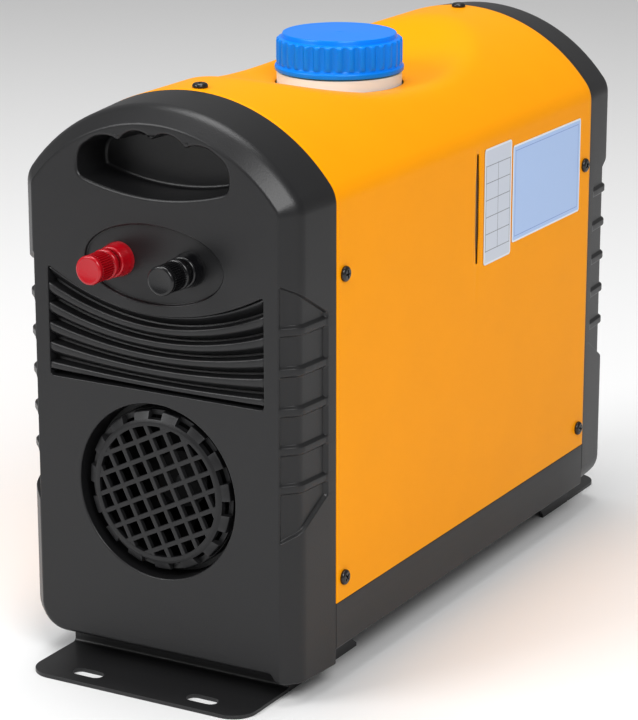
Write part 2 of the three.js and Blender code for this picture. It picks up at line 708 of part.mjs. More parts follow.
// Built as the intake end. The outlet end is the same moulding turned half round.
function coverBlank() {
  const lipBack = -SHELL_END + LIP_LENGTH;
  const lipRoot = -SHELL_END - 3;
  const outer = coverForm(0, CORNER_ROUND, TOE_DROP);
  const cavity = coverForm(COVER_WALL, CORNER_ROUND - COVER_WALL, 0);
  const keep = block(-HALF_WIDTH, HALF_WIDTH, -END_FACE - 1, lipRoot, 0, CROWN_TOP);
  const lip = coverLip(LIP_INSET, lipRoot, lipBack);
  const lipCavity = coverLip(LIP_INSET + LIP_WALL, lipRoot - 1, lipBack + 1);
  const faceBack = -END_FACE + COVER_WALL - 0.5;
  const pocketBlock = alongY(handleShape(POCKET_WALL), -END_FACE + 1, -END_FACE + HANDLE_DEPTH + POCKET_WALL, 4);
  const louvreBack = -END_FACE + LOUVRE_DEPTH + 3;
  const louvreBody = alongY(louvreBlock(POCKET_WALL), -END_FACE + 1, louvreBack, 4);
  const cupEnd = -END_FACE + DUCT_RECESS_DEPTH + 2.5;
  const cup = rodY(DUCT_RECESS_RADIUS + POCKET_WALL, faceBack, cupEnd, 0, DUCT_Z, FINE);
  const topBoss = rodZ(BOSS_RADIUS, CROWN_TOP - LIP_INSET - LIP_WALL - BOSS_LENGTH,
    CROWN_TOP - LIP_INSET - 1, 0, -SCREW_Y, COARSE);
  const bosses = [-1, 1].flatMap((side) => [SCREW_LOW, SCREW_HIGH].map((z) => boss(side, -SCREW_Y, z)));
  const walls = cut(join(outer, lip), common(cavity, keep), lipCavity);
  const grown = join(walls, pocketBlock, louvreBody, cup, topBoss, ...bosses);
  const pocket = alongY(handleShape(0), -END_FACE - 1, -END_FACE + HANDLE_DEPTH, 4);
  const panel = alongY(louvreBlock(0), -END_FACE - 1, -END_FACE + LOUVRE_DEPTH, 4);
  const slats = slatBands(SLAT_HEIGHT, 0, LOUVRE_HALF)
    .map((band) => alongY(band, -END_FACE + SLAT_SET_BACK, -END_FACE + LOUVRE_DEPTH + 1, 4));
  const vents = slatBands(VENT_HEIGHT, SLAT_HEIGHT + 1.2, LOUVRE_HALF - 6)
    .map((band) => alongY(band, -END_FACE, louvreBack + 1, 4));
  const recess = rodY(DUCT_RECESS_RADIUS, -END_FACE - 1, -END_FACE + DUCT_RECESS_DEPTH, 0, DUCT_Z, FINE);
  const duct = rodY(DUCT_RADIUS, -END_FACE - 1, cupEnd + 1, 0, DUCT_Z, FINE);
  const oval = alongY(ovalShape(OVAL_HALF_WIDTH, OVAL_HALF_HEIGHT, OVAL_Z), -END_FACE - 1,
    -END_FACE + OVAL_DEPTH, 6);
  const gripSkin = cut(coverForm(0, 0, TOE_DROP), coverForm(GRIP_DEPTH, 0, TOE_DROP));
  const grips = common(gripSkin, gripWindow());
  const panelled = cut(join(cut(grown, pocket, panel, recess), ...slats), duct, oval, grips, ...vents);
  return cut(panelled, ...shellScrewHoles(SCREW_SHANK_RADIUS + HOLE_GAP));
}

function intakeCover(blank) {
  const holes = [-1, 1].map((side) => {
    return rodY(STUD_RADIUS + HOLE_GAP, -END_FACE, -END_FACE + 10, side * TERMINAL_X, TERMINAL_Z, COARSE);
  });
  return cut(blank, ...holes);
}

function outletCover(blank) {
  const halfWidth = BUTTON_X + BUTTON_RADIUS + 2 + GAP;
  const halfHeight = SCREEN_HEIGHT / 2 + 2 + GAP;
  const window = block(-halfWidth, halfWidth, -END_FACE, -END_FACE + 10, OVAL_Z - halfHeight,
    OVAL_Z + halfHeight);
  return cut(blank, window);
}

// Tray: a folded sheet with a flange that tucks up inside the shell.
function tray() {
  const end = SHELL_END;
  const outer = HALF_WIDTH;
  const sideTop = SHELL_BOTTOM - GAP;
  const flangeOuter = outer - LIP_INSET + 0.3;
  const flangeEnd = SHELL_END - LIP_LENGTH - 4;
  const floor = block(-outer, outer, -end, end, TRAY_BOTTOM, TRAY_FLOOR);
  const sides = [];
  for (const side of [-1, 1]) {
    const [wall0, wall1] = [side * outer, side * (outer - TRAY_SHEET)].sort((a, b) => a - b);
    const [step0, step1] = [side * outer, side * (flangeOuter - TRAY_SHEET)].sort((a, b) => a - b);
    const [fold0, fold1] = [side * flangeOuter, side * (flangeOuter - TRAY_SHEET)].sort((a, b) => a - b);
    sides.push(block(wall0, wall1, -end, end, TRAY_BOTTOM, sideTop));
    sides.push(block(step0, step1, -flangeEnd, flangeEnd, sideTop - 2 * TRAY_SHEET, sideTop));
    sides.push(block(fold0, fold1, -flangeEnd, flangeEnd, sideTop - TRAY_SHEET, TRAY_FLANGE_TOP));
  }
  const holes = [EXHAUST_Y, AIR_PIPE_Y].map((y) => {
    return rodZ(PIPE_RADIUS + 1.5, TRAY_BOTTOM - 1, TRAY_FLOOR + 1, 0, y, MEDIUM);
  });
  for (const x of [-FOOT_SCREW_X, FOOT_SCREW_X]) {
    for (const y of [-FOOT_SCREW_Y, FOOT_SCREW_Y]) {
      holes.push(rodZ(SCREW_SHANK_RADIUS + HOLE_GAP, TRAY_BOTTOM - 1, TRAY_FLOOR + 1, x, y, COARSE));
    }
  }
  return cut(join(floor, ...sides), ...holes);
}

// A foot, built for the intake end: an ear on the floor, a riser, a stepped flange and two wings.
function foot(wingEnd) {
  const half = FOOT_WIDTH / 2;
  const top = TRAY_BOTTOM;
  const ear = new THREE.Shape();
  ear.moveTo(half, -FOOT_RISER);
  ear.lineTo(-half, -FOOT_RISER);
  ear.absarc(-half + FOOT_CORNER, -FOOT_REACH + FOOT_CORNER, FOOT_CORNER, Math.PI, Math.PI * 1.5);
  ear.absarc(half - FOOT_CORNER, -FOOT_REACH + FOOT_CORNER, FOOT_CORNER, Math.PI * 1.5, Math.PI * 2);
  ear.closePath();
  const plate = alongZ(ear, 0, FOOT_SHEET, 4);
  const outer = -FOOT_RISER - FOOT_SHEET;
  const step = COVER_BOTTOM - GAP; // under the cover; the flange steps up beyond it to meet the tray
  const stepEnd = -SHELL_END + GAP;
  const riser = block(-half, half, outer, -FOOT_RISER, 0, step);
  const flange = alongX(polygon([
    [outer, step - FOOT_SHEET],
    [stepEnd + FOOT_SHEET, step - FOOT_SHEET],
    [stepEnd + FOOT_SHEET, top - FOOT_SHEET],
    [-FOOT_FLANGE_END, top - FOOT_SHEET],
    [-FOOT_FLANGE_END, top],
    [stepEnd, top],
    [stepEnd, step],
    [outer, step],
  ]), -half, half);
  const wing = polygon([
    [outer, 0],
    [-wingEnd, 0],
    [-wingEnd, FOOT_SHEET],
    [-FOOT_FLANGE_END, top - FOOT_SHEET],
    [-FOOT_FLANGE_END, top],
    [stepEnd, top],
    [stepEnd, step],
    [outer, step],
  ]);
  const wings = [alongX(wing, -half, -half + FOOT_SHEET), alongX(wing, half - FOOT_SHEET, half)];
  const slots = [-FOOT_SLOT_X, FOOT_SLOT_X].map((x) => {
    return alongZ(slotShape(FOOT_SLOT_LENGTH, FOOT_SLOT_WIDTH, x, -FOOT_SLOT_Y), -1, FOOT_SHEET + 1, 4);
  });
  const holes = [-FOOT_SCREW_X, FOOT_SCREW_X].map((x) => {
    return rodZ(SCREW_SHANK_RADIUS + HOLE_GAP, top - FOOT_SHEET - 1, top + 1, x, -FOOT_SCREW_Y, COARSE);
  });
  return cut(join(plate, riser, flange, ...wings), ...slots, ...holes);
}

// A cross-recessed pan-head screw: its head stands on the plane z = 0, its shank points down.
function screw() {
  const profile = [
    [0, -SCREW_LENGTH],
    [SCREW_SHANK_RADIUS, -SCREW_LENGTH],
    [SCREW_SHANK_RADIUS, 0],
    [SCREW_HEAD_RADIUS, 0],
    [SCREW_HEAD_RADIUS, SCREW_HEAD_HEIGHT * 0.45],
    [SCREW_HEAD_RADIUS * 0.75, SCREW_HEAD_HEIGHT],
    [0, SCREW_HEAD_HEIGHT],
  ];
  const arm = SCREW_HEAD_RADIUS * 0.6;
  const slit = SCREW_HEAD_RADIUS * 0.13;
  const low = SCREW_HEAD_HEIGHT * 0.45;
  const high = SCREW_HEAD_HEIGHT + 1;
  const cross = join(
    block(-arm, arm, -slit, slit, low, high),
    block(-slit, slit, -arm, arm, low, high),
  );
  return cut(turnedUpright(profile, COARSE), cross);
}

// ---------------------------------------------------------------------------------------------
// Fuel tank, cap and shelf
// ---------------------------------------------------------------------------------------------

function tankShape(inset) {
  const half = TANK_WIDTH / 2 - inset;
  const low = SHELF_TOP + inset;
  const high = TANK_TOP - inset;
  const corner = TANK_CORNER - inset;
  const foot = 6;
  const shape = new THREE.Shape();
  shape.absarc(half - foot, low + foot, foot, -Math.PI / 2, 0);
  shape.absarc(half - corner, high - corner, corner, 0, Math.PI / 2);
  shape.absarc(-half + corner, high - corner, corner, Math.PI / 2, Math.PI);
  shape.absarc(-half + foot, low + foot, foot, Math.PI, Math.PI * 1.5);
  shape.closePath();
  return shape;
}

function tank() {
  const end = TANK_LENGTH / 2;
  const body = alongY(tankShape(0), -end, end, 5);
  const inside = alongY(tankShape(TANK_WALL), -end + TANK_WALL, end - TANK_WALL, 5);
  const neck = turnedUpright([
    [0, TANK_TOP - TANK_WALL],
    [COLLAR_RADIUS, TANK_TOP - TANK_WALL],
    [COLLAR_RADIUS, COLLAR_TOP],
    [NECK_RADIUS, COLLAR_TOP],
    [NECK_RADIUS, NECK_TOP],
    [0, NECK_TOP],
  ], FINE);
  const bore = rodZ(NECK_BORE, TANK_TOP - TANK_WALL - 1, NECK_TOP + 1, 0, 0, FINE);
  const spigot = rodY(SPIGOT_RADIUS, end - 1, end + 9, PUMP_X - 6, SHELF_TOP + 10, COARSE);
  const feed = rodY(SPIGOT_RADIUS - 2, end - TANK_WALL - 1, end + 10, PUMP_X - 6, SHELF_TOP + 10, COARSE);
  return cut(join(cut(body, inside), neck, spigot), bore, feed);
}

function shelf() {
  const outer = HALF_WIDTH - SHELL_SHEET;
  const end = SHELF_LENGTH / 2;
  return join(
    block(-outer, outer, -end, end, SHELF_TOP - SHELF_SHEET, SHELF_TOP),
    block(-outer, -outer + SHELF_SHEET, -end, end, SHELF_TOP - SHELF_FLANGE, SHELF_TOP),
    block(outer - SHELF_SHEET, outer, -end, end, SHELF_TOP - SHELF_FLANGE, SHELF_TOP),
  );
}

// Outer ring of the cap with its grip ribs: a many-pointed star with flat-topped teeth.
function ribbedShape(root, crest, count) {
  const shape = new THREE.Shape();
  for (let i = 0; i < count; i += 1) {
    const middle = (2 * Math.PI * i) / count;
    const step = (2 * Math.PI) / count;
    const corners = [[root, -0.5], [root, -0.28], [crest, -0.2], [crest, 0.2], [root, 0.28]];
    corners.forEach(([radius, share], corner) => {
      const angle = middle + share * step;
      const [x, y] = [radius * Math.cos(angle), radius * Math.sin(angle)];
      if (i === 0 && corner === 0) {
        shape.moveTo(x, y);
      } else if (corner > 0) {
        shape.lineTo(x, y);
      }
    });
  }
  shape.closePath();
  return shape;
}

function fuelCap() {
  const top = CAP_BOTTOM + CAP_HEIGHT;
  const root = CAP_RADIUS - 0.9;
  const ribs = alongZ(ribbedShape(root, CAP_RADIUS, CAP_RIBS), CAP_BOTTOM + 3, top - 3.6);
  const core = turnedUpright([
    [0, CAP_BOTTOM],
    [CAP_BEAD - 0.8, CAP_BOTTOM],
    [CAP_BEAD, CAP_BOTTOM + 1],
    [CAP_BEAD, CAP_BOTTOM + 2.8],
    [root, CAP_BOTTOM + 3.6],
    [root, top - 3.6],
    [CAP_TOP_RADIUS + 0.4, top - 2.6],
    [CAP_TOP_RADIUS, top],
    [0, top + 0.6],
  ], FINE);
  const inside = rodZ(CAP_RADIUS - CAP_SKIRT_WALL, CAP_BOTTOM - 1, CAP_CEILING, 0, 0, FINE);
  return cut(join(core, ribs), inside);
}

function capLiner() {
  return rodZ(NECK_RADIUS, NECK_TOP, NECK_TOP + LINER_THICKNESS, 0, 0, FINE);
}

// ---------------------------------------------------------------------------------------------
// Intake grille and power terminals
// ---------------------------------------------------------------------------------------------

function grilleMesh() {
  const hole = GRILLE_PITCH - GRILLE_BAR;
  const turn = THREE.MathUtils.degToRad(GRILLE_TURN);
  const reach = Math.ceil(GRILLE_MESH_RADIUS / GRILLE_PITCH);
  const geometry = new THREE.BoxGeometry(hole, 30, hole);
  geometry.rotateY(-turn);
  const cell = solid(geometry);
  const cells = [];
  for (let i = -reach; i < reach; i += 1) {
    for (let j = -reach; j < reach; j += 1) {
      const u = (i + 0.5) * GRILLE_PITCH;
      const v = (j + 0.5) * GRILLE_PITCH;
      const x = u * Math.cos(turn) - v * Math.sin(turn);
      const z = u * Math.sin(turn) + v * Math.cos(turn);
      const nearest = Math.hypot(x, z) - hole * 0.75;
      if (nearest < GRILLE_MESH_RADIUS - 1) {
        cells.push(cell.translate([x, -END_FACE, DUCT_Z + z]));
      }
    }
  }
  const disc = rodY(GRILLE_MESH_RADIUS, -END_FACE - 10, -END_FACE + 10, 0, DUCT_Z, FINE);
  return common(join(...cells), disc);
}

function grille() {
  const face = -END_FACE + GAP;
  const rim = face + GRILLE_RIM_SET_BACK;
  const seat = -END_FACE + DUCT_RECESS_DEPTH;
  const body = turned([
    [0, face],
    [GRILLE_FACE_RADIUS, face],
    [GRILLE_RIM_RADIUS, rim],
    [GRILLE_RIM_RADIUS, seat],
    [DUCT_RADIUS + GAP, seat],
    [DUCT_RADIUS + GAP, rim + GRILLE_PLATE],
    [GRILLE_FACE_RADIUS - 1, face + GRILLE_PLATE],
    [0, face + GRILLE_PLATE],
  ], FINE).translate([0, 0, DUCT_Z]);
  const notches = [];
  for (let i = 0; i < GRILLE_NOTCHES; i += 1) {
    const angle = (2 * Math.PI * (i + 0.83)) / GRILLE_NOTCHES;
    const radius = GRILLE_RIM_RADIUS - 1.5;
    const geometry = new THREE.BoxGeometry(5, 30, 7);
    geometry.rotateY(-angle);
    geometry.translate(radius * Math.cos(angle), face + 15 + 0.3, DUCT_Z + radius * Math.sin(angle));
    notches.push(solid(geometry));
  }
  const spared = rodY(GRILLE_RIM_RADIUS + 3, seat - 2, seat + 30, 0, DUCT_Z, FINE);
  return cut(body, grilleMesh(), cut(join(...notches), spared));
}

// Each terminal's pieces are built on the Y axis, with the end face's plane at its true place.
function terminalStud() {
  const wall = -END_FACE + COVER_WALL;
  return turned([
    [0, -END_FACE - STUD_TIP],
    [STUD_RADIUS - 0.5, -END_FACE - STUD_TIP],
    [STUD_RADIUS, -END_FACE - STUD_TIP + 0.6],
    [STUD_RADIUS, wall],
    [STUD_RADIUS + 2.6, wall],
    [STUD_RADIUS + 2.6, wall + 4],
    [STUD_RADIUS, wall + 4],
    [STUD_RADIUS, wall + 16],
    [0, wall + 16],
  ], COARSE);
}

function terminalBase() {
  const back = -END_FACE + OVAL_DEPTH;
  const bore = STUD_RADIUS + HOLE_GAP;
  return turned([
    [bore, COLLAR_FRONT],
    [COLLAR_NECK_RADIUS - 0.5, COLLAR_FRONT],
    [COLLAR_NECK_RADIUS, COLLAR_FRONT + 0.6],
    [COLLAR_NECK_RADIUS, COLLAR_FRONT + 4.5],
    [COLLAR_BASE_RADIUS, back - 3.5],
    [COLLAR_BASE_RADIUS, back],
    [bore, back],
    [bore, COLLAR_FRONT],
  ], MEDIUM);
}

function terminalWasher() {
  const bore = STUD_RADIUS + HOLE_GAP;
  return turned([
    [bore, WASHER_FRONT],
    [WASHER_RADIUS, WASHER_FRONT],
    [WASHER_RADIUS, WASHER_FRONT + WASHER_THICKNESS],
    [bore, WASHER_FRONT + WASHER_THICKNESS],
    [bore, WASHER_FRONT],
  ], COARSE);
}

function terminalKnob() {
  const back = WASHER_FRONT;
  const front = back - KNOB_LENGTH;
  const bore = STUD_RADIUS + HOLE_GAP;
  const body = turned([
    [0, front],
    [KNOB_RADIUS - 0.9, front],
    [KNOB_RADIUS, front + 0.9],
    [KNOB_RADIUS, front + 3],
    [KNOB_RADIUS - 0.7, front + 3.6],
    [KNOB_RADIUS - 0.7, back - 3],
    [KNOB_RADIUS + 0.4, back - 2.4],
    [KNOB_RADIUS + 0.4, back],
    [0, back],
  ], MEDIUM);
  return cut(body, rodY(bore, back - KNOB_BORE_DEPTH, back + 1, 0, 0, COARSE));
}

// ---------------------------------------------------------------------------------------------
// Heater core
// ---------------------------------------------------------------------------------------------

function coreShell() {
  const outer = alongY(coreSection(0), -CORE_END, CORE_END, 4);
  const inner = alongY(coreSection(CORE_WALL), -CORE_END + CORE_WALL, CORE_END - CORE_WALL, 4);
  const mouth = rodY(DUCT_RADIUS + 4, -CORE_END - 1, -CORE_END + CORE_WALL + 1, 0, DUCT_Z, MEDIUM);
  const outlet = rodY(CORE_OUTLET_RADIUS, CORE_END - CORE_WALL - 1, CORE_END + 1, 0, DUCT_Z, MEDIUM);
  return cut(outer, inner, mouth, outlet);
}

function coreLower() {
  const half = CORE_HALF_WIDTH + 1;
  const lower = block(-half, half, -CORE_END - 1, CORE_END + 1, TRAY_FLOOR, DUCT_Z);
  const legs = [];
  for (const x of [-CORE_LEG_X, CORE_LEG_X]) {
    for (const y of [-CORE_LEG_Y, CORE_LEG_Y]) {
      const leg = block(x - 6, x + 6, y - 8, y + 8, TRAY_FLOOR, DUCT_Z - CORE_HALF_HEIGHT + 12);
      legs.push(leg);
    }
  }
  const inside = alongY(coreSection(CORE_WALL), -CORE_END, CORE_END, 4);
  const holes = [EXHAUST_Y, AIR_PIPE_Y].map((y) => {
    return rodZ(PIPE_RADIUS + GAP, CORE_FLOOR - 2 * CORE_WALL, CORE_FLOOR + 1, 0, y, MEDIUM);
  });
  return cut(join(common(coreShell(), lower), ...legs.map((leg) => cut(leg, inside))), ...holes);
}

function coreUpper() {
  const half = CORE_HALF_WIDTH + 1;
  const top = DUCT_Z + CORE_HALF_HEIGHT + PAD_RISE;
  const upper = block(-half, half, -CORE_END - 1, CORE_END + 1, DUCT_Z, top);
  const pad = block(-UNIT_WIDTH / 2, UNIT_WIDTH / 2, -UNIT_LENGTH / 2, UNIT_LENGTH / 2, top - 10, top);
  const inside = alongY(coreSection(CORE_WALL), -CORE_END, CORE_END, 4);
  return join(common(coreShell(), upper), cut(pad, inside));
}

// Fins stand round a cast tube; its stem stands on the core's floor over the exhaust pipe.
function exchanger() {
  const shape = new THREE.Shape();
  for (let i = 0; i < FIN_COUNT; i += 1) {
    const middle = (2 * Math.PI * i) / FIN_COUNT;
    const base = FIN_THICKNESS / EXCHANGER_RADIUS;
    const tip = (FIN_THICKNESS * 0.7) / FIN_RADIUS;
    const corners = [
      [EXCHANGER_RADIUS, -base],
      [FIN_RADIUS, -tip],
      [FIN_RADIUS, tip],
      [EXCHANGER_RADIUS, base],
    ];
    corners.forEach(([radius, offset], corner) => {
      const angle = middle + offset / 2 + Math.PI / FIN_COUNT;
      const [x, z] = [radius * Math.cos(angle), DUCT_Z + radius * Math.sin(angle)];
      if (i === 0 && corner === 0) {
        shape.moveTo(x, z);
      } else {
        shape.lineTo(x, z);
      }
    });
  }
  shape.closePath();
  const fins = alongY(shape, EXCHANGER_START + 5, EXCHANGER_END, 1);
  const flange = rodY(FLANGE_RADIUS, EXCHANGER_START, EXCHANGER_START + 6, 0, DUCT_Z, MEDIUM);
  const bore = rodY(EXCHANGER_BORE, EXCHANGER_START - 1, EXCHANGER_END - 5, 0, DUCT_Z, MEDIUM);
  const stem = rodZ(PIPE_RADIUS + 4, CORE_FLOOR, DUCT_Z - EXCHANGER_BORE - 1, 0, EXHAUST_Y, MEDIUM);
  const port = rodZ(PIPE_RADIUS - PIPE_WALL, CORE_FLOOR - 1, DUCT_Z, 0, EXHAUST_Y, MEDIUM);
  return cut(join(fins, flange, stem), bore, port);
}

function burner() {
  const flange = rodY(FLANGE_RADIUS, BURNER_START, EXCHANGER_START, 0, DUCT_Z, MEDIUM);
  const tube = rodY(CHAMBER_RADIUS, EXCHANGER_START - 1, EXCHANGER_START + CHAMBER_LENGTH, 0, DUCT_Z, MEDIUM);
  const inside = rodY(
    CHAMBER_RADIUS - CHAMBER_WALL,
    EXCHANGER_START - 4,
    EXCHANGER_START + CHAMBER_LENGTH + 1,
    0,
    DUCT_Z,
    MEDIUM,
  );
  const plugWell = rodZ(
    PLUG_RADIUS + GAP,
    DUCT_Z + 10,
    DUCT_Z + FLANGE_RADIUS + 1,
    0,
    BURNER_START + BURNER_FLANGE / 2,
    COARSE,
  );
  return cut(join(flange, tube), inside, plugWell);
}

function glowPlug() {
  const y = BURNER_START + BURNER_FLANGE / 2;
  return join(
    rodZ(PLUG_RADIUS, DUCT_Z + 16, DUCT_Z + PLUG_REACH - 4, 0, y, COARSE),
    rodZ(PLUG_RADIUS + 1.5, DUCT_Z + FLANGE_RADIUS + GAP, DUCT_Z + PLUG_REACH - 3, 0, y, 6),
    rodZ(1.5, DUCT_Z + PLUG_REACH - 5, DUCT_Z + PLUG_REACH, 0, y, COARSE),
  );
}

function blowerHousing() {
  const plate = BLOWER_START + BLOWER_PLATE;
  const cup = rodY(FLANGE_RADIUS, BLOWER_START, BURNER_START, 0, DUCT_Z, MEDIUM);
  const cavity = rodY(WHEEL_RADIUS + 2, plate, BURNER_START + 1, 0, DUCT_Z, MEDIUM);
  const shaftHole = rodY(SHAFT_RADIUS + 1, BLOWER_START - 1, plate + 1, 0, DUCT_Z, COARSE);
  const saddle = block(-15, 15, BLOWER_START, BURNER_START, CORE_FLOOR, DUCT_Z - FLANGE_RADIUS + 3);
  const port = rodZ(BLOWER_DEPTH / 2 - 3, CORE_FLOOR - 1, DUCT_Z - WHEEL_RADIUS, 0, AIR_PIPE_Y, MEDIUM);
  return cut(join(cup, saddle), cavity, shaftHole, port);
}

function motor() {
  const body = rodY(MOTOR_RADIUS, MOTOR_START, BLOWER_START, 0, DUCT_Z, MEDIUM);
  const nose = rodY(8, MOTOR_START - 3, MOTOR_START + 1, 0, DUCT_Z, COARSE);
  const hole = rodY(SHAFT_RADIUS + GAP, MOTOR_START - 4, BLOWER_START + 1, 0, DUCT_Z, COARSE);
  return cut(join(body, nose), hole);
}

function shaft() {
  return rodY(SHAFT_RADIUS, SHAFT_START, BURNER_START - 3, 0, DUCT_Z, COARSE);
}

// A ring of blades about the Y axis, each a slab tilted on its own radius.
function bladeRing(count, inner, outer, width, thickness, tilt, middle) {
  const blades = [];
  for (let i = 0; i < count; i += 1) {
    const geometry = new THREE.BoxGeometry(outer - inner, thickness, width);
    geometry.rotateX(tilt);
    geometry.translate((outer + inner) / 2, 0, 0);
    geometry.rotateY((2 * Math.PI * i) / count);
    geometry.translate(0, middle, DUCT_Z);
    blades.push(solid(geometry));
  }
  return join(...blades);
}

function fan() {
  const start = SHAFT_START + 2;
  const end = start + FAN_DEPTH;
  const hub = rodY(FAN_HUB_RADIUS, start, end, 0, DUCT_Z, MEDIUM);
  const blades = bladeRing(FAN_BLADES, FAN_HUB_RADIUS - 2, FAN_RADIUS, FAN_BLADE_WIDTH, 2, 0.72, (start + end) / 2);
  const hole = rodY(SHAFT_RADIUS + GAP, start - 1, end + 1, 0, DUCT_Z, COARSE);
  return cut(join(hub, blades), hole);
}

function wheel() {
  const back = BLOWER_START + BLOWER_PLATE + 1;
  const disc = rodY(WHEEL_RADIUS, back, back + 2, 0, DUCT_Z, MEDIUM);
  const hub = rodY(7, back, back + 9, 0, DUCT_Z, COARSE);
  const blades = bladeRing(WHEEL_BLADES, 16, WHEEL_RADIUS - 0.5, 1.6, 8, 0, back + 5);
  const hole = rodY(SHAFT_RADIUS + GAP, back - 1, back + 12, 0, DUCT_Z, COARSE);
  return cut(join(disc, hub, blades), hole);
}

function controlUnit() {
  const low = DUCT_Z + CORE_HALF_HEIGHT + PAD_RISE;
  const [halfX, halfY] = [UNIT_WIDTH / 2 - 3, UNIT_LENGTH / 2 - 3];
  const fins = [];
  for (let i = -3; i <= 3; i += 1) {
    const x = (i * halfX) / 4;
    fins.push(block(x - 1, x + 1, -halfY + 4, halfY - 4, low + UNIT_HEIGHT - 2.5, low + UNIT_HEIGHT));
  }
  return join(block(-halfX, halfX, -halfY, halfY, low, low + UNIT_HEIGHT - 2), ...fins);
}

// A pipe stub from the core's floor down through the tray.
function pipe(y) {
  const middle = (PIPE_END + CORE_FLOOR) / 2;
  const outside = turnedUpright([
    [0, PIPE_END],
    [PIPE_RADIUS, PIPE_END],
    [PIPE_RADIUS, PIPE_END + 3],
    [PIPE_RADIUS + 0.8, PIPE_END + 4],
    [PIPE_RADIUS, PIPE_END + 5],
    [PIPE_RADIUS, middle],
    [PIPE_RADIUS, CORE_FLOOR],
    [0, CORE_FLOOR],
  ], MEDIUM).translate([0, y, 0]);
  return cut(outside, rodZ(PIPE_RADIUS - PIPE_WALL, PIPE_END - 1, CORE_FLOOR + 1, 0, y, MEDIUM));
}

// ---------------------------------------------------------------------------------------------
// Fuel pump and lines
// ---------------------------------------------------------------------------------------------

const PUMP_FRONT = PUMP_Y - PUMP_LENGTH / 2;
const PUMP_BACK = PUMP_Y + PUMP_LENGTH / 2;

function pump() {
  return turned([
    [0, PUMP_FRONT - 12],
    [SPIGOT_RADIUS, PUMP_FRONT - 12],
    [SPIGOT_RADIUS, PUMP_FRONT],
    [PUMP_RADIUS - 4, PUMP_FRONT],
    [PUMP_RADIUS - 4, PUMP_FRONT + 12],
    [PUMP_RADIUS, PUMP_FRONT + 16],
    [PUMP_RADIUS, PUMP_BACK - 8],
    [PUMP_RADIUS - 3, PUMP_BACK],
    [SPIGOT_RADIUS, PUMP_BACK],
    [SPIGOT_RADIUS, PUMP_BACK + 12],
    [0, PUMP_BACK + 12],
  ], MEDIUM).translate([PUMP_X, 0, PUMP_Z]);
}

function pumpClamp() {
  const [y0, y1] = [PUMP_Y - PUMP_CLAMP_LENGTH / 2, PUMP_Y + PUMP_CLAMP_LENGTH / 2];
  const ring = rodY(PUMP_RADIUS + PUMP_CLAMP_WALL, y0, y1, PUMP_X, PUMP_Z, MEDIUM);
  const post = block(PUMP_X - 7, PUMP_X + 7, y0, y1, TRAY_FLOOR, PUMP_Z);
  return cut(join(ring, post), rodY(PUMP_RADIUS + GAP, y0 - 1, y1 + 1, PUMP_X, PUMP_Z, MEDIUM));
}

// A fuel line: eight-sided tube along a smooth curve whose ends run along Y.
function fuelLine(points) {
  const path = new THREE.CatmullRomCurve3(points.map((p) => new THREE.Vector3(...p)), false, 'centripetal');
  const section = new THREE.Shape();
  for (let i = 0; i < 8; i += 1) {
    const angle = (Math.PI * i) / 4;
    const [u, v] = [LINE_RADIUS * Math.cos(angle), LINE_RADIUS * Math.sin(angle)];
    if (i === 0) {
      section.moveTo(u, v);
    } else {
      section.lineTo(u, v);
    }
  }
  section.closePath();
  return solid(new THREE.ExtrudeGeometry(section, { steps: 18, extrudePath: path, bevelEnabled: false }));
}

function tankLine() {
  const spigot = TANK_LENGTH / 2 + 9 + GAP;
  const [x, z] = [PUMP_X - 6, SHELF_TOP + 10];
  return fuelLine([
    [x, spigot, z],
    [x, spigot + 6, z],
    [x + 6, spigot + 15, z - 14],
    [PUMP_X + 5, spigot + 14, z - 60],
    [PUMP_X + 4, spigot + 8, PUMP_Z + 18],
    [PUMP_X, spigot - 14, PUMP_Z],
    [PUMP_X, PUMP_BACK + 30, PUMP_Z],
    [PUMP_X, PUMP_BACK + 12 + GAP, PUMP_Z],
  ]);
}

// The line to the burner ends at the core's side, where the core's own fuel pipe starts.
function burnerLine() {
  const wall = CORE_HALF_WIDTH + GAP;
  const y = BURNER_START + BURNER_FLANGE / 2;
  return fuelLine([
    [PUMP_X, PUMP_FRONT - 12 - GAP, PUMP_Z],
    [PUMP_X, PUMP_FRONT - 22, PUMP_Z],
    [PUMP_X + 2, PUMP_FRONT - 46, PUMP_Z + 14],
    [PUMP_X + 3, y + 4, DUCT_Z - 16],
    [PUMP_X + 1, y, DUCT_Z - 4],
    [wall + 4, y, DUCT_Z],
    [wall, y, DUCT_Z],
  ]);
}

// ---------------------------------------------------------------------------------------------
// Outlet and controller
// ---------------------------------------------------------------------------------------------

function outletRing() {
  const bore = RING_RADIUS - RING_WALL;
  return turned([
    [bore, CORE_END],
    [RING_RADIUS, CORE_END],
    [RING_RADIUS, END_FACE - DUCT_RECESS_DEPTH + GAP],
    [VENT_LIP_RADIUS, END_FACE - DUCT_RECESS_DEPTH + GAP],
    [VENT_LIP_RADIUS, END_FACE - DUCT_RECESS_DEPTH + GAP + 2.5],
    [RING_RADIUS, END_FACE - DUCT_RECESS_DEPTH + GAP + 4],
    [RING_RADIUS, RING_END],
    [bore, RING_END],
    [bore, CORE_END],
  ], FINE).translate([0, 0, DUCT_Z]);
}

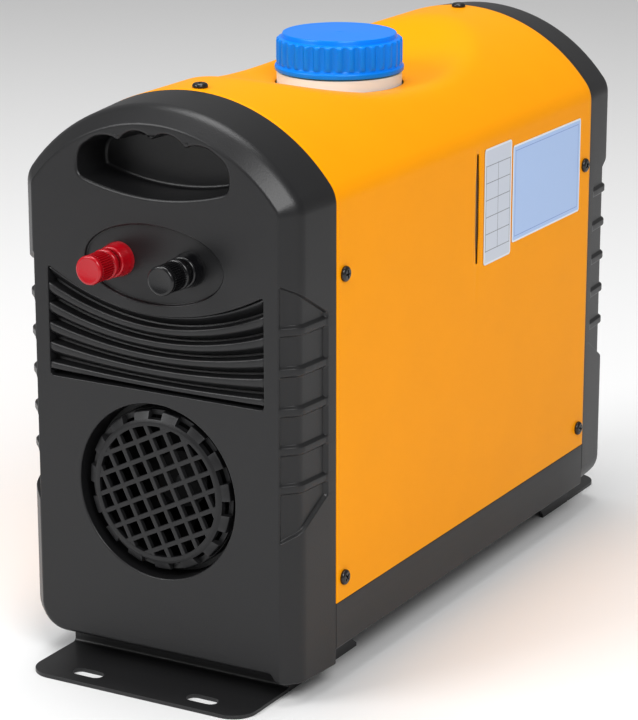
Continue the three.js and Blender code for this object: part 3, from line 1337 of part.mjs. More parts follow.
// The louvre snaps into the ring and turns in it; its slats are set at an angle.
function outletLouvre() {
  const radius = RING_RADIUS - RING_WALL - GAP;
  const bore = radius - VENT_WALL;
  const back = VENT_END - VENT_DEPTH - 3;
  const frame = turned([
    [bore, back],
    [radius, back],
    [radius, RING_END + GAP],
    [VENT_LIP_RADIUS - 2, RING_END + GAP],
    [VENT_LIP_RADIUS - 2, VENT_END - 1.5],
    [VENT_LIP_RADIUS - 3.5, VENT_END],
    [bore + 1, VENT_END],
    [bore, VENT_END - 1],
    [bore, back],
  ], FINE);
  const limit = rodY(bore + 0.5, back, VENT_END - 1, 0, 0, FINE);
  const slats = [];
  for (let i = 0; i < VENT_BLADES; i += 1) {
    const z = ((i - (VENT_BLADES - 1) / 2) * 2 * bore) / (VENT_BLADES + 0.5);
    const geometry = new THREE.BoxGeometry(2 * radius, VENT_DEPTH, 1.8);
    geometry.rotateX(-THREE.MathUtils.degToRad(VENT_TILT));
    geometry.translate(0, (back + VENT_END) / 2, z);
    slats.push(common(solid(geometry), limit));
  }
  return join(frame, ...slats).translate([0, 0, DUCT_Z]);
}

// Controller pieces are built for the intake end's side and turned half round with the outlet cover.
function controllerPanel() {
  const back = -END_FACE + OVAL_DEPTH;
  const front = -END_FACE - PANEL_RISE;
  const plateShape = ovalShape(OVAL_HALF_WIDTH - GAP, OVAL_HALF_HEIGHT - GAP, OVAL_Z);
  const plate = alongY(plateShape, front, back, 6);
  const halfWidth = BUTTON_X + BUTTON_RADIUS + 2;
  const halfHeight = SCREEN_HEIGHT / 2 + 2;
  const box = block(-halfWidth, halfWidth, back - 1, back + PANEL_BOX_DEPTH, OVAL_Z - halfHeight,
    OVAL_Z + halfHeight);
  const [screenX, screenZ] = [SCREEN_WIDTH / 2 + GAP, SCREEN_HEIGHT / 2 + GAP];
  const well = block(-screenX, screenX, front - 1, front + SCREEN_THICKNESS, OVAL_Z - screenZ,
    OVAL_Z + screenZ);
  const depth = front + BUTTON_LENGTH - BUTTON_PROUD + BUTTON_TRAVEL + GAP;
  const wells = buttonPlaces().map(([x, z]) => rodY(BUTTON_RADIUS + GAP, front - 1, depth, x, z, MEDIUM));
  return cut(join(plate, box), well, ...wells);
}

function buttonPlaces() {
  return [
    [-BUTTON_X, OVAL_Z + BUTTON_Z],
    [-BUTTON_X, OVAL_Z - BUTTON_Z],
    [BUTTON_X, OVAL_Z + BUTTON_Z],
    [BUTTON_X, OVAL_Z - BUTTON_Z],
  ];
}

function controllerScreen() {
  const front = -END_FACE - PANEL_RISE;
  const [x, z] = [SCREEN_WIDTH / 2, SCREEN_HEIGHT / 2];
  return block(-x, x, front, front + SCREEN_THICKNESS, OVAL_Z - z, OVAL_Z + z);
}

function button() {
  const front = -END_FACE - PANEL_RISE - BUTTON_PROUD;
  return turned([
    [0, front],
    [BUTTON_RADIUS - 0.6, front],
    [BUTTON_RADIUS, front + 0.6],
    [BUTTON_RADIUS, front + BUTTON_LENGTH],
    [0, front + BUTTON_LENGTH],
  ], MEDIUM);
}

function label(y, { z, width, height }) {
  return block(
    HALF_WIDTH,
    HALF_WIDTH + LABEL_THICKNESS,
    y - width / 2,
    y + width / 2,
    z - height / 2,
    z + height / 2,
  );
}

// ---------------------------------------------------------------------------------------------
// Assembly
// ---------------------------------------------------------------------------------------------

const heater = new THREE.Group();

function add(name, form, material, parent = heater) {
  const { numProp, vertProperties, triVerts } = form.getMesh();
  const positions = new Float32Array((vertProperties.length / numProp) * 3);
  for (let i = 0; i < positions.length / 3; i += 1) {
    positions.set(vertProperties.subarray(i * numProp, i * numProp + 3), i * 3);
  }
  const geometry = new THREE.BufferGeometry();
  geometry.setAttribute('position', new THREE.BufferAttribute(positions, 3));
  geometry.setIndex(new THREE.BufferAttribute(new Uint32Array(triVerts), 1));
  geometry.computeVertexNormals();
  const mesh = new THREE.Mesh(geometry, material);
  mesh.name = name;
  parent.add(mesh);
  return mesh;
}

const blank = coverBlank();
add('shell', shell(), YELLOW_PAINT);
add('cover_intake', intakeCover(blank), BLACK_PLASTIC);
const outletEnd = new THREE.Group();
outletEnd.rotation.z = Math.PI;
heater.add(outletEnd);
add('cover_outlet', outletCover(blank), BLACK_PLASTIC, outletEnd);
add('tray', tray(), BLACK_PAINT);
add('foot_intake', foot(FRONT_WING_END), BLACK_STEEL);
add('foot_outlet', foot(REAR_WING_END), BLACK_STEEL, outletEnd);

const SCREW_SEAT = 0.2; // a head's stand-off on the curved crown
for (const [end, y] of [['intake', -SCREW_Y], ['outlet', SCREW_Y]]) {
  for (const [level, z] of [['low', SCREW_LOW], ['high', SCREW_HIGH]]) {
    for (const [side, sign] of [['left', -1], ['right', 1]]) {
      const piece = add(`screw_${end}_${side}_${level}`, screw(), BLACK_STEEL);
      piece.rotation.y = (sign * Math.PI) / 2;
      piece.position.set(sign * HALF_WIDTH, y, z);
    }
  }
  const top = add(`screw_${end}_top`, screw(), BLACK_STEEL);
  top.position.set(0, y, CROWN_TOP + SCREW_SEAT);
  for (const [side, sign] of [['left', -1], ['right', 1]]) {
    const piece = add(`foot_screw_${end}_${side}`, screw(), PLATED_STEEL);
    piece.rotation.x = Math.PI;
    piece.position.set(sign * FOOT_SCREW_X, Math.sign(y) * FOOT_SCREW_Y, TRAY_BOTTOM - FOOT_SHEET);
  }
}

add('fuel_tank', tank(), TANK_PLASTIC);
add('tank_shelf', shelf(), ALUMINIUM_SHEET);
add('fuel_cap', fuelCap(), BLUE_PLASTIC);
add('cap_liner', capLiner(), RUBBER);
add('intake_grille', grille(), BLACK_PLASTIC);

for (const [name, sign, plastic] of [['red', -1, RED_PLASTIC], ['black', 1, GLOSS_BLACK]]) {
  const terminal = new THREE.Group();
  terminal.position.set(sign * TERMINAL_X, 0, TERMINAL_Z);
  heater.add(terminal);
  add(`${name}_terminal_stud`, terminalStud(), PLATED_STEEL, terminal);
  add(`${name}_terminal_base`, terminalBase(), plastic, terminal);
  add(`${name}_terminal_washer`, terminalWasher(), PLATED_STEEL, terminal);
  add(`${name}_terminal_knob`, terminalKnob(), plastic, terminal);
}

add('core_lower', coreLower(), GREY_PLASTIC);
add('core_upper', coreUpper(), GREY_PLASTIC);
add('heat_exchanger', exchanger(), CAST_ALUMINIUM);
add('burner', burner(), STAINLESS);
add('glow_plug', glowPlug(), CERAMIC);
add('blower_housing', blowerHousing(), CAST_ALUMINIUM);
add('fan_motor', motor(), STAINLESS);
add('fan_shaft', shaft(), PLATED_STEEL);
add('hot_air_fan', fan(), GREY_PLASTIC);
add('combustion_wheel', wheel(), CAST_ALUMINIUM);
add('control_unit', controlUnit(), ALUMINIUM_SHEET);
add('exhaust_pipe', pipe(EXHAUST_Y), STAINLESS);
add('air_pipe', pipe(AIR_PIPE_Y), STAINLESS);
add('fuel_pump', pump(), STAINLESS);
add('pump_clamp', pumpClamp(), RUBBER);
add('tank_line', tankLine(), FUEL_LINE);
add('burner_line', burnerLine(), FUEL_LINE);
add('outlet_ring', outletRing(), BLACK_PLASTIC);
add('outlet_louvre', outletLouvre(), BLACK_PLASTIC);

add('controller_panel', controllerPanel(), GLOSS_BLACK, outletEnd);
add('controller_screen', controllerScreen(), SCREEN_GLASS, outletEnd);
buttonPlaces().forEach(([x, z], i) => {
  const piece = add(`button_${i + 1}`, button(), GREY_PLASTIC, outletEnd);
  piece.position.set(x, 0, z);
});

add('small_label', label(SMALL_LABEL_Y, SMALL_LABEL), WHITE_FILM);
add('large_label', label(LARGE_LABEL_Y, LARGE_LABEL), BLUE_FILM);

export default heater;
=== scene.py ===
"""Portable diesel air heater: the looks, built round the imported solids."""

import math

import bmesh
import bpy
import numpy as np
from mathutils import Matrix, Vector
from mathutils.geometry import tessellate_polygon


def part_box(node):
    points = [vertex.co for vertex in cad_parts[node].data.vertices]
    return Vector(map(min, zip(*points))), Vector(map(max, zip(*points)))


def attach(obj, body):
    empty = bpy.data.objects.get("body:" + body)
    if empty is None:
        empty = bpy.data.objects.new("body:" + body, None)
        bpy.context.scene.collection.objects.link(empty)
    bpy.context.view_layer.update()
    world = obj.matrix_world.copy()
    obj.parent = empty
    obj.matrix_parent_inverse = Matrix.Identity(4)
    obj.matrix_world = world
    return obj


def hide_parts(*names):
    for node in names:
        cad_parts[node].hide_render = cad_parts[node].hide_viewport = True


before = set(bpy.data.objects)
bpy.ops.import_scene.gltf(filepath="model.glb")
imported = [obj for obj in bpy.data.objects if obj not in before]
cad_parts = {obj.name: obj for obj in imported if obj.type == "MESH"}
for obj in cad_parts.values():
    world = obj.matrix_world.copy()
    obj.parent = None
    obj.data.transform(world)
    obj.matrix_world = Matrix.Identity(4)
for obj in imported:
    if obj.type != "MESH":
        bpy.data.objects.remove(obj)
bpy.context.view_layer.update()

# ---------------------------------------------------------------------------------------------
# Shell
# One steel sheet folded over the heater and painted yellow. A round dish for the filler is
# pressed into its crown, and a tall slot in the +X side shows the fuel level. The slot is 1.2 mm
# wider than the solid's, and the sheet 0.3 mm thinner, so that it reads as wide as it should.

HALF_WIDTH = 82.5
CROWN_TOP = 301.2
CROWN_RADIUS = 99.75
SHOULDER_RADIUS = 17.3
CROWN_Z = CROWN_TOP - CROWN_RADIUS
SHOULDER_X = HALF_WIDTH - SHOULDER_RADIUS
SHOULDER_RISE = math.sqrt((CROWN_RADIUS - SHOULDER_RADIUS) ** 2 - SHOULDER_X**2)
SHOULDER_TURN = math.atan2(SHOULDER_RISE, SHOULDER_X)
SIDE_TOP = CROWN_Z + SHOULDER_RISE
SHELL_END = 150.25
SHELL_BOTTOM = 44.7
DISH_RADIUS = 250.0
DISH_FLOOR = 278.4
DISH_SOFTNESS = 1.6
NECK_HOLE = 34.9
NECK_BLEND = 58.0
SLOT_Y = (1.9, 6.7)
SLOT_Z = (188.0, 248.4)


def arch(inset, heights, crown_x):
    """The housing's section as arrays x and z, from the foot of the +X side over to the other foot.

    Each side is upright, then a shoulder arc about a fixed centre, then a crown arc. An inset moves
    every part in by the same distance, so the shoulder and crown radii shrink by it.
    """
    inset = np.reshape(inset, (-1, 1))
    heights = np.broadcast_to(heights, (len(inset), np.shape(heights)[-1]))
    bend = np.linspace(0, SHOULDER_TURN, 9)
    side_x = np.broadcast_to(HALF_WIDTH - inset, heights.shape)
    shoulder_x = SHOULDER_X + (SHOULDER_RADIUS - inset) * np.cos(bend)
    shoulder_z = SIDE_TOP + (SHOULDER_RADIUS - inset) * np.sin(bend)
    share = crown_x / CROWN_RADIUS
    top_x = (CROWN_RADIUS - inset) * share
    top_z = CROWN_Z + (CROWN_RADIUS - inset) * np.sqrt(1 - share**2)
    x = np.hstack([side_x, shoulder_x, top_x, -shoulder_x[:, ::-1], -side_x[:, ::-1]])
    z = np.hstack([heights, shoulder_z, top_z, shoulder_z[:, ::-1], heights[:, ::-1]])
    return x, z


def grid_faces(rows, columns, closed=False, dropped=None):
    """Four-sided faces of a rows by columns grid, its last column joined to the first if closed."""
    row = np.arange(rows - 1)[:, None]
    column = np.arange(columns if closed else columns - 1)[None, :]
    here = row * columns + column
    right = row * columns + (column + 1) % columns
    faces = np.stack([here, right, right + columns, here + columns], -1)
    if dropped is not None:
        faces = faces[~dropped]
    return faces.reshape(-1, 4)


def make_piece(name, groups, body, nodes=(), material=None, wall=0.0, bevel=0.0, crease=38):
    """Puts groups of (points, faces) in millimetres into one object.

    A group's parts are welded where they meet. Its faces are turned outwards, or towards a
    direction if one is given. A wall grows inwards from them, and a bevel rounds its edges.
    """
    whole = bmesh.new()
    for parts, direction in groups:
        points = np.concatenate([np.reshape(part[0], (-1, 3)) for part in parts])
        starts = np.cumsum([0] + [np.size(part[0]) // 3 for part in parts])
        faces = [face for part, start in zip(parts, starts) for face in (part[1] + start).tolist()]
        sheet = bpy.data.meshes.new(name)
        sheet.from_pydata((points * 0.001).tolist(), [], faces)
        form = bmesh.new()
        form.from_mesh(sheet)
        bmesh.ops.remove_doubles(form, verts=form.verts, dist=8e-6)
        bmesh.ops.dissolve_degenerate(form, edges=form.edges, dist=1e-6)
        bmesh.ops.recalc_face_normals(form, faces=form.faces)
        if direction is not None:
            lean = sum((face.normal * face.calc_area() for face in form.faces), Vector())
            if lean.dot(Vector(direction)) < 0:
                bmesh.ops.reverse_faces(form, faces=form.faces)
        form.to_mesh(sheet)
        form.free()
        whole.from_mesh(sheet)
        bpy.data.meshes.remove(sheet)
    mesh = bpy.data.meshes.new(name)
    whole.to_mesh(mesh)
    whole.free()
    mesh.shade_smooth()
    mesh.set_sharp_from_angle(angle=math.radians(crease))
    piece = bpy.data.objects.new(name, mesh)
    bpy.context.scene.collection.objects.link(piece)
    if wall:
        thick = piece.modifiers.new("wall", "SOLIDIFY")
        thick.thickness = wall * 0.001
        thick.offset = -1
        thick.use_even_offset = False
    if bevel:
        rounded = piece.modifiers.new("bevel", "BEVEL")
        rounded.width = bevel * 0.001
        rounded.segments = 2
        rounded.limit_method = "ANGLE"
        rounded.angle_limit = math.radians(50)
    weigh = piece.modifiers.new("shading", "WEIGHTED_NORMAL")
    weigh.keep_sharp = True
    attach(piece, body)
    if nodes:
        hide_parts(*nodes)
    if material:
        mesh.materials.append(material)
    return piece


def socket(tree, name, kind, way, value=None):
    """Adds one named input or output to a shader node group."""
    made = tree.interface.new_socket(name=name, in_out=way, socket_type=kind)
    if value is not None:
        made.default_value = value
    return made


def finish_group():
    """The surface of a moulded, cast or painted piece, as a node group.

    Colour = the colour, a little darker and lighter in soft patches, and a lighter colour on edges, part from
    rubbing and part painted highlight.
    Roughness = the roughness with the same patches. Normal = bumps from a fine and a coarse grain.
    """
    tree = bpy.data.node_groups.new("surface finish", "ShaderNodeTree")
    for name, kind, value in (
        ("Colour", "NodeSocketColor", (0.5, 0.5, 0.5, 1)),
        ("Worn And Lit Colour", "NodeSocketColor", (0.8, 0.8, 0.8, 1)),
        ("Patch Depth", "NodeSocketFloat", 0.1),
        ("Roughness", "NodeSocketFloat", 0.5),
        ("Grain Scale", "NodeSocketFloat", 1500.0),
        ("Grain Height", "NodeSocketFloat", 0.1),
        ("Swell Height", "NodeSocketFloat", 0.0),
        ("Edge Wear And Highlight", "NodeSocketFloat", 0.2),
    ):
        socket(tree, name, kind, "INPUT", value)
    socket(tree, "Colour", "NodeSocketColor", "OUTPUT")
    socket(tree, "Roughness", "NodeSocketFloat", "OUTPUT")
    socket(tree, "Normal", "NodeSocketVector", "OUTPUT")
    nodes, link = tree.nodes, tree.links.new
    given = nodes.new("NodeGroupInput")
    out = nodes.new("NodeGroupOutput")
    place = nodes.new("ShaderNodeTexCoord")
    patches = nodes.new("ShaderNodeTexNoise")
    patches.inputs["Scale"].default_value = 28
    patches.inputs["Detail"].default_value = 5
    grain = nodes.new("ShaderNodeTexNoise")
    grain.inputs["Detail"].default_value = 3
    swell = nodes.new("ShaderNodeTexNoise")
    swell.inputs["Scale"].default_value = 16
    link(place.outputs["Object"], patches.inputs["Vector"])
    link(place.outputs["Object"], grain.inputs["Vector"])
    link(place.outputs["Object"], swell.inputs["Vector"])
    link(given.outputs["Grain Scale"], grain.inputs["Scale"])
    centre = nodes.new("ShaderNodeMath")
    centre.operation = "SUBTRACT"
    centre.inputs[1].default_value = 0.5
    link(patches.outputs["Fac"], centre.inputs[0])
    depth = nodes.new("ShaderNodeMath")
    depth.operation = "MULTIPLY"
    link(centre.outputs[0], depth.inputs[0])
    link(given.outputs["Patch Depth"], depth.inputs[1])
    bright = nodes.new("ShaderNodeHueSaturation")
    value = nodes.new("ShaderNodeMath")
    value.operation = "MULTIPLY_ADD"
    value.inputs[1].default_value = 2.0
    value.inputs[2].default_value = 1.0
    link(depth.outputs[0], value.inputs[0])
    link(value.outputs[0], bright.inputs["Value"])
    link(given.outputs["Colour"], bright.inputs["Color"])
    # Convex edges, found from pointiness and broken up by the patches, take the lighter edge colour: part
    # rubbing on the edges, part painted edge highlight.
    edge = nodes.new("ShaderNodeNewGeometry")
    ridge = nodes.new("ShaderNodeMapRange")
    ridge.inputs["From Min"].default_value = 0.53
    ridge.inputs["From Max"].default_value = 0.62
    link(edge.outputs["Pointiness"], ridge.inputs["Value"])
    broken = nodes.new("ShaderNodeMath")
    broken.operation = "MULTIPLY"
    link(ridge.outputs["Result"], broken.inputs[0])
    link(patches.outputs["Fac"], broken.inputs[1])
    wear_and_highlight = nodes.new("ShaderNodeMath")
    wear_and_highlight.operation = "MULTIPLY"
    link(broken.outputs[0], wear_and_highlight.inputs[0])
    link(given.outputs["Edge Wear And Highlight"], wear_and_highlight.inputs[1])
    mix = nodes.new("ShaderNodeMix")
    mix.data_type = "RGBA"
    link(wear_and_highlight.outputs[0], mix.inputs["Factor"])
    link(bright.outputs["Color"], mix.inputs["A"])
    link(given.outputs["Worn And Lit Colour"], mix.inputs["B"])
    link(mix.outputs["Result"], out.inputs["Colour"])
    rough = nodes.new("ShaderNodeMath")
    rough.operation = "ADD"
    link(given.outputs["Roughness"], rough.inputs[0])
    link(depth.outputs[0], rough.inputs[1])
    link(rough.outputs[0], out.inputs["Roughness"])
    fine = nodes.new("ShaderNodeBump")
    fine.inputs["Distance"].default_value = 0.0003
    link(grain.outputs["Fac"], fine.inputs["Height"])
    link(given.outputs["Grain Height"], fine.inputs["Strength"])
    broad = nodes.new("ShaderNodeBump")
    broad.inputs["Distance"].default_value = 0.002
    link(swell.outputs["Fac"], broad.inputs["Height"])
    link(given.outputs["Swell Height"], broad.inputs["Strength"])
    link(broad.outputs["Normal"], fine.inputs["Normal"])
    link(fine.outputs["Normal"], out.inputs["Normal"])
    return tree


SURFACE_FINISH = finish_group()


def finished(name, colour, roughness, patch=0.06, grain=(1500.0, 0.1), swell=0.0, wear_and_highlight=0.2,
             worn_and_lit=None, metallic=0.0, coat=0.0, specular=0.5):
    """A material whose colour, roughness and bumps come from the surface finish group."""
    material = bpy.data.materials.new(name)
    material.use_nodes = True
    nodes, link = material.node_tree.nodes, material.node_tree.links.new
    shader = nodes["Principled BSDF"]
    shader.inputs["Metallic"].default_value = metallic
    shader.inputs["Coat Weight"].default_value = coat
    shader.inputs["Coat Roughness"].default_value = 0.12
    shader.inputs["Specular IOR Level"].default_value = specular
    group = nodes.new("ShaderNodeGroup")
    group.node_tree = SURFACE_FINISH
    # The edge colour is part rubbing and part painted highlight; unless given, it is a lighter shade of the
    # colour.
    lighter = worn_and_lit or tuple(min(1.0, 1.6 * part + 0.04) for part in colour)
    group.inputs["Colour"].default_value = (*colour, 1)
    group.inputs["Worn And Lit Colour"].default_value = (*lighter, 1)
    group.inputs["Patch Depth"].default_value = patch
    group.inputs["Roughness"].default_value = roughness
    group.inputs["Grain Scale"].default_value = grain[0]
    group.inputs["Grain Height"].default_value = grain[1]
    group.inputs["Swell Height"].default_value = swell
    group.inputs["Edge Wear And Highlight"].default_value = wear_and_highlight
    link(group.outputs["Colour"], shader.inputs["Base Color"])
    link(group.outputs["Roughness"], shader.inputs["Roughness"])
    link(group.outputs["Normal"], shader.inputs["Normal"])
    return material


def shell_points():
    """The sheet's outer side as a grid: the arch along Y, sunk where the dish lies lower.

    z = the softened lesser of the arch and a sphere. Round the neck each square ring of the grid is
    drawn in to a circle, so that the hole's edge is round.
    """
    crown_x = np.concatenate([
        np.linspace(CROWN_RADIUS * math.cos(SHOULDER_TURN), NECK_HOLE, 22)[1:-1],
        np.linspace(NECK_HOLE, -NECK_HOLE, 25),
        np.linspace(-NECK_HOLE, -CROWN_RADIUS * math.cos(SHOULDER_TURN), 22)[1:-1],
    ])
    heights = np.array([SHELL_BOTTOM, 70, 100, 130, 160, SLOT_Z[0], 205, 218, 232, SLOT_Z[1]])
    rows = np.concatenate([
        np.linspace(-SHELL_END + 0.15, -NECK_BLEND, 36),
        np.linspace(-NECK_BLEND, -NECK_HOLE, 9)[1:],
        np.linspace(-NECK_HOLE, NECK_HOLE, 25)[1:-1],
        np.linspace(NECK_HOLE, NECK_BLEND, 9)[:-1],
        np.linspace(NECK_BLEND, SHELL_END - 0.15, 36),
    ])
    rows = np.sort(np.append(rows[np.abs(rows - np.mean(SLOT_Y)) > 2.9], [*SLOT_Y]))
    x, z = arch(0.0, heights, crown_x)
    x = np.repeat(x, len(rows), 0)
    z = np.repeat(z, len(rows), 0)
    y = np.repeat(rows[:, None], x.shape[1], 1)
    crown = z > 262
    square = np.maximum(np.abs(x), np.abs(y))
    radial = np.hypot(x, y) + 1e-9
    blend = np.clip((square - NECK_HOLE) / (NECK_BLEND - NECK_HOLE), 0, 1)
    blend = blend * blend * (3 - 2 * blend)
    wanted = square + (radial - square) * blend
    pull = np.where(crown & (square < NECK_BLEND), wanted / radial, 1.0)
    hole = crown & (square < NECK_HOLE - 0.01)
    x, y = x * pull, y * pull
    flat = np.sqrt(np.maximum(CROWN_RADIUS**2 - x**2, 1))
    z = np.where(crown & (pull != 1), CROWN_Z + flat, z)
    dish = DISH_FLOOR + DISH_RADIUS - np.sqrt(DISH_RADIUS**2 - x**2 - y**2)
    gap = np.abs(z - dish)
    soft = np.where(gap < 4 * DISH_SOFTNESS, (4 * DISH_SOFTNESS - gap) ** 2 / (16 * DISH_SOFTNESS), 0)
    z = np.where(z > 225, np.minimum(z, dish) - soft * (z > 262), z)
    low = np.argmin(np.abs(rows - SLOT_Y[0]))
    first = int(np.flatnonzero(heights == SLOT_Z[0])[0])
    last = int(np.flatnonzero(heights == SLOT_Z[1])[0])
    y[low, [first, last]] += 1.0
    y[low + 1, [first, last]] -= 1.0
    dropped = hole[:-1, :-1] | hole[1:, :-1] | hole[:-1, 1:] | hole[1:, 1:]
    dropped[low, first:last] = True
    points = np.stack([x, y, z], -1)
    return points, grid_faces(*x.shape, dropped=dropped)


YELLOW = finished("yellow paint", (0.96, 0.37, 0.0), 0.40, patch=0.03, grain=(420.0, 0.05),
                  swell=0.02, wear_and_highlight=0.1, coat=0.04, specular=0.1)
make_piece("shell_sheet", [([shell_points()], None)], "body", ["shell"], YELLOW,
           wall=0.9)

# ---------------------------------------------------------------------------------------------
# Tray
# A folded black sheet that closes the heater below. Its sides stand flush under the shell, and
# the pipes leave through two holes in its floor.

TRAY_TOP = 44.2
TRAY_BOTTOM = 19.0
TRAY_FOLD = 1.8
PIPE_HOLES = (92.0, -93.0)


def fillet(corner, radius, start, turn, steps=5):
    """Points of an arc about a centre: corner + radius (cos a, sin a) as a runs through the turn."""
    angle = np.radians(np.linspace(start, start + turn, steps))
    return np.stack([corner[0] + radius * np.cos(angle), corner[1] + radius * np.sin(angle)], -1)


def swept(profile, stations, axis=1):
    """A profile carried along Y if it holds (x, z), or along X if it holds (y, z)."""
    profile = np.asarray(profile)
    rows = np.repeat(profile[None], len(stations), 0)
    along = np.broadcast_to(np.reshape(stations, (-1, 1)), rows.shape[:2])
    order = (rows[..., 0], along, rows[..., 1]) if axis == 1 else (along, rows[..., 0], rows[..., 1])
    return np.stack(order, -1), grid_faces(len(stations), len(profile))


TRAY_EDGE = HALF_WIDTH - 0.1
tray_right = np.vstack([
    [[TRAY_EDGE, TRAY_TOP], [TRAY_EDGE, 36.0], [TRAY_EDGE, 26.0]],
    fillet((TRAY_EDGE - TRAY_FOLD, TRAY_BOTTOM + TRAY_FOLD), TRAY_FOLD, 0, -90),
    [[60.0, TRAY_BOTTOM], [15.0, TRAY_BOTTOM]],
])
tray_profile = np.vstack([tray_right, tray_right[::-1] * [-1, 1]])
BLACK_PAINT = finished("black paint", (0.018, 0.018, 0.019), 0.42, patch=0.05, grain=(700.0, 0.08),
                       wear_and_highlight=0.35, worn_and_lit=(0.10, 0.10, 0.105))
holes_y = np.ravel([[y - 13.5, y + 13.5] for y in sorted(PIPE_HOLES)])
tray_rows = np.sort(np.concatenate([[-149.95, -120, -60, 0, 50, 120, 149.95], holes_y]))
tray_points, _ = swept(tray_profile, tray_rows)
middle = np.zeros((len(tray_rows) - 1, len(tray_profile) - 1), bool)
middle[np.searchsorted(tray_rows, [y - 13 for y in sorted(PIPE_HOLES)]) - 1, len(tray_right) - 1] = True
tray_faces = grid_faces(len(tray_rows), len(tray_profile), dropped=middle)


def square_to_round(y_centre, half, radius, steps=8):
    """A flat ring from a rectangle's border in to a circle, level with the tray's floor.

    Point = border + share (circle - border), both taken at the same angle from the centre.
    """
    side = np.linspace(-1, 1, steps + 1)[:-1]
    border = np.concatenate([
        np.stack([side, -np.ones(steps)], -1), np.stack([np.ones(steps), side], -1),
        np.stack([-side, np.ones(steps)], -1), np.stack([-np.ones(steps), -side], -1),
    ])
    circle = border / np.hypot(*border.T)[:, None] * radius
    outer = border * half
    share = np.linspace(0, 1, 3)[:, None, None]
    ring = outer + share * (circle - outer)
    z = np.full(ring.shape[:2], TRAY_BOTTOM)
    points = np.stack([ring[..., 0], y_centre + ring[..., 1], z], -1)
    return points, grid_faces(3, 4 * steps, closed=True)


tray_parts = [(tray_points, tray_faces)]
tray_parts += [square_to_round(y, np.array([15.0, 13.5]), 12.6) for y in PIPE_HOLES]
make_piece("tray_sheet", [(tray_parts, None)], "body", ["tray"], BLACK_PAINT, wall=1.4)

# ---------------------------------------------------------------------------------------------
# End covers
# Two like black mouldings, the far one turned half round. Each has a bevelled edge, four ribbed
# corner grips, a handle pocket with finger lobes, an oval recess, a louvre panel and a round one.

COVER_DEPTH = 38.4
END_FACE = SHELL_END + COVER_DEPTH
COVER_BOTTOM = 15.5
TOE_BOTTOM = 11.5
TOE_START = 65.8
TOE_END = 68.8
CORNER_ROUND = 14.0
PAD_DEPTH = 2.0
PAD_BACK = 8.25
PAD_TOP = (200.0, 218.0)
PAD_BOTTOM = (105.5, 87.0)
RIB_Z = np.array([114.7, 134.5, 154.4, 174.7, 195.2])
RIB_HALF = 2.3
RIB_SINK = 0.2
FACE_FILLET = 2.2
EASE = np.array([-0.95, -0.5, 0.0, 0.5, 0.95])
EASE_SHARE = np.array([0.0, 0.12, 0.5, 0.88, 1.0])


def rounded_corners(corners, radii, steps=6):
    """A polyline with each inner corner replaced by an arc that touches both its sides."""
    corners = np.asarray(corners, float)
    path = [corners[:1]]
    for before, corner, after, radius in zip(corners, corners[1:], corners[2:], radii):
        back = (before - corner) / np.linalg.norm(before - corner)
        ahead = (after - corner) / np.linalg.norm(after - corner)
        half = math.acos(np.clip(back @ ahead, -1, 1)) / 2
        centre = corner + (back + ahead) / np.linalg.norm(back + ahead) * radius / math.sin(half)
        first = corner + back * radius / math.tan(half) - centre
        last = corner + ahead * radius / math.tan(half) - centre
        share = np.linspace(0, 1, steps)[:, None]
        chord = first + (last - first) * share
        path.append(centre + chord / np.linalg.norm(chord, axis=1)[:, None] * radius)
    path.append(corners[-1:])
    return np.vstack(path)


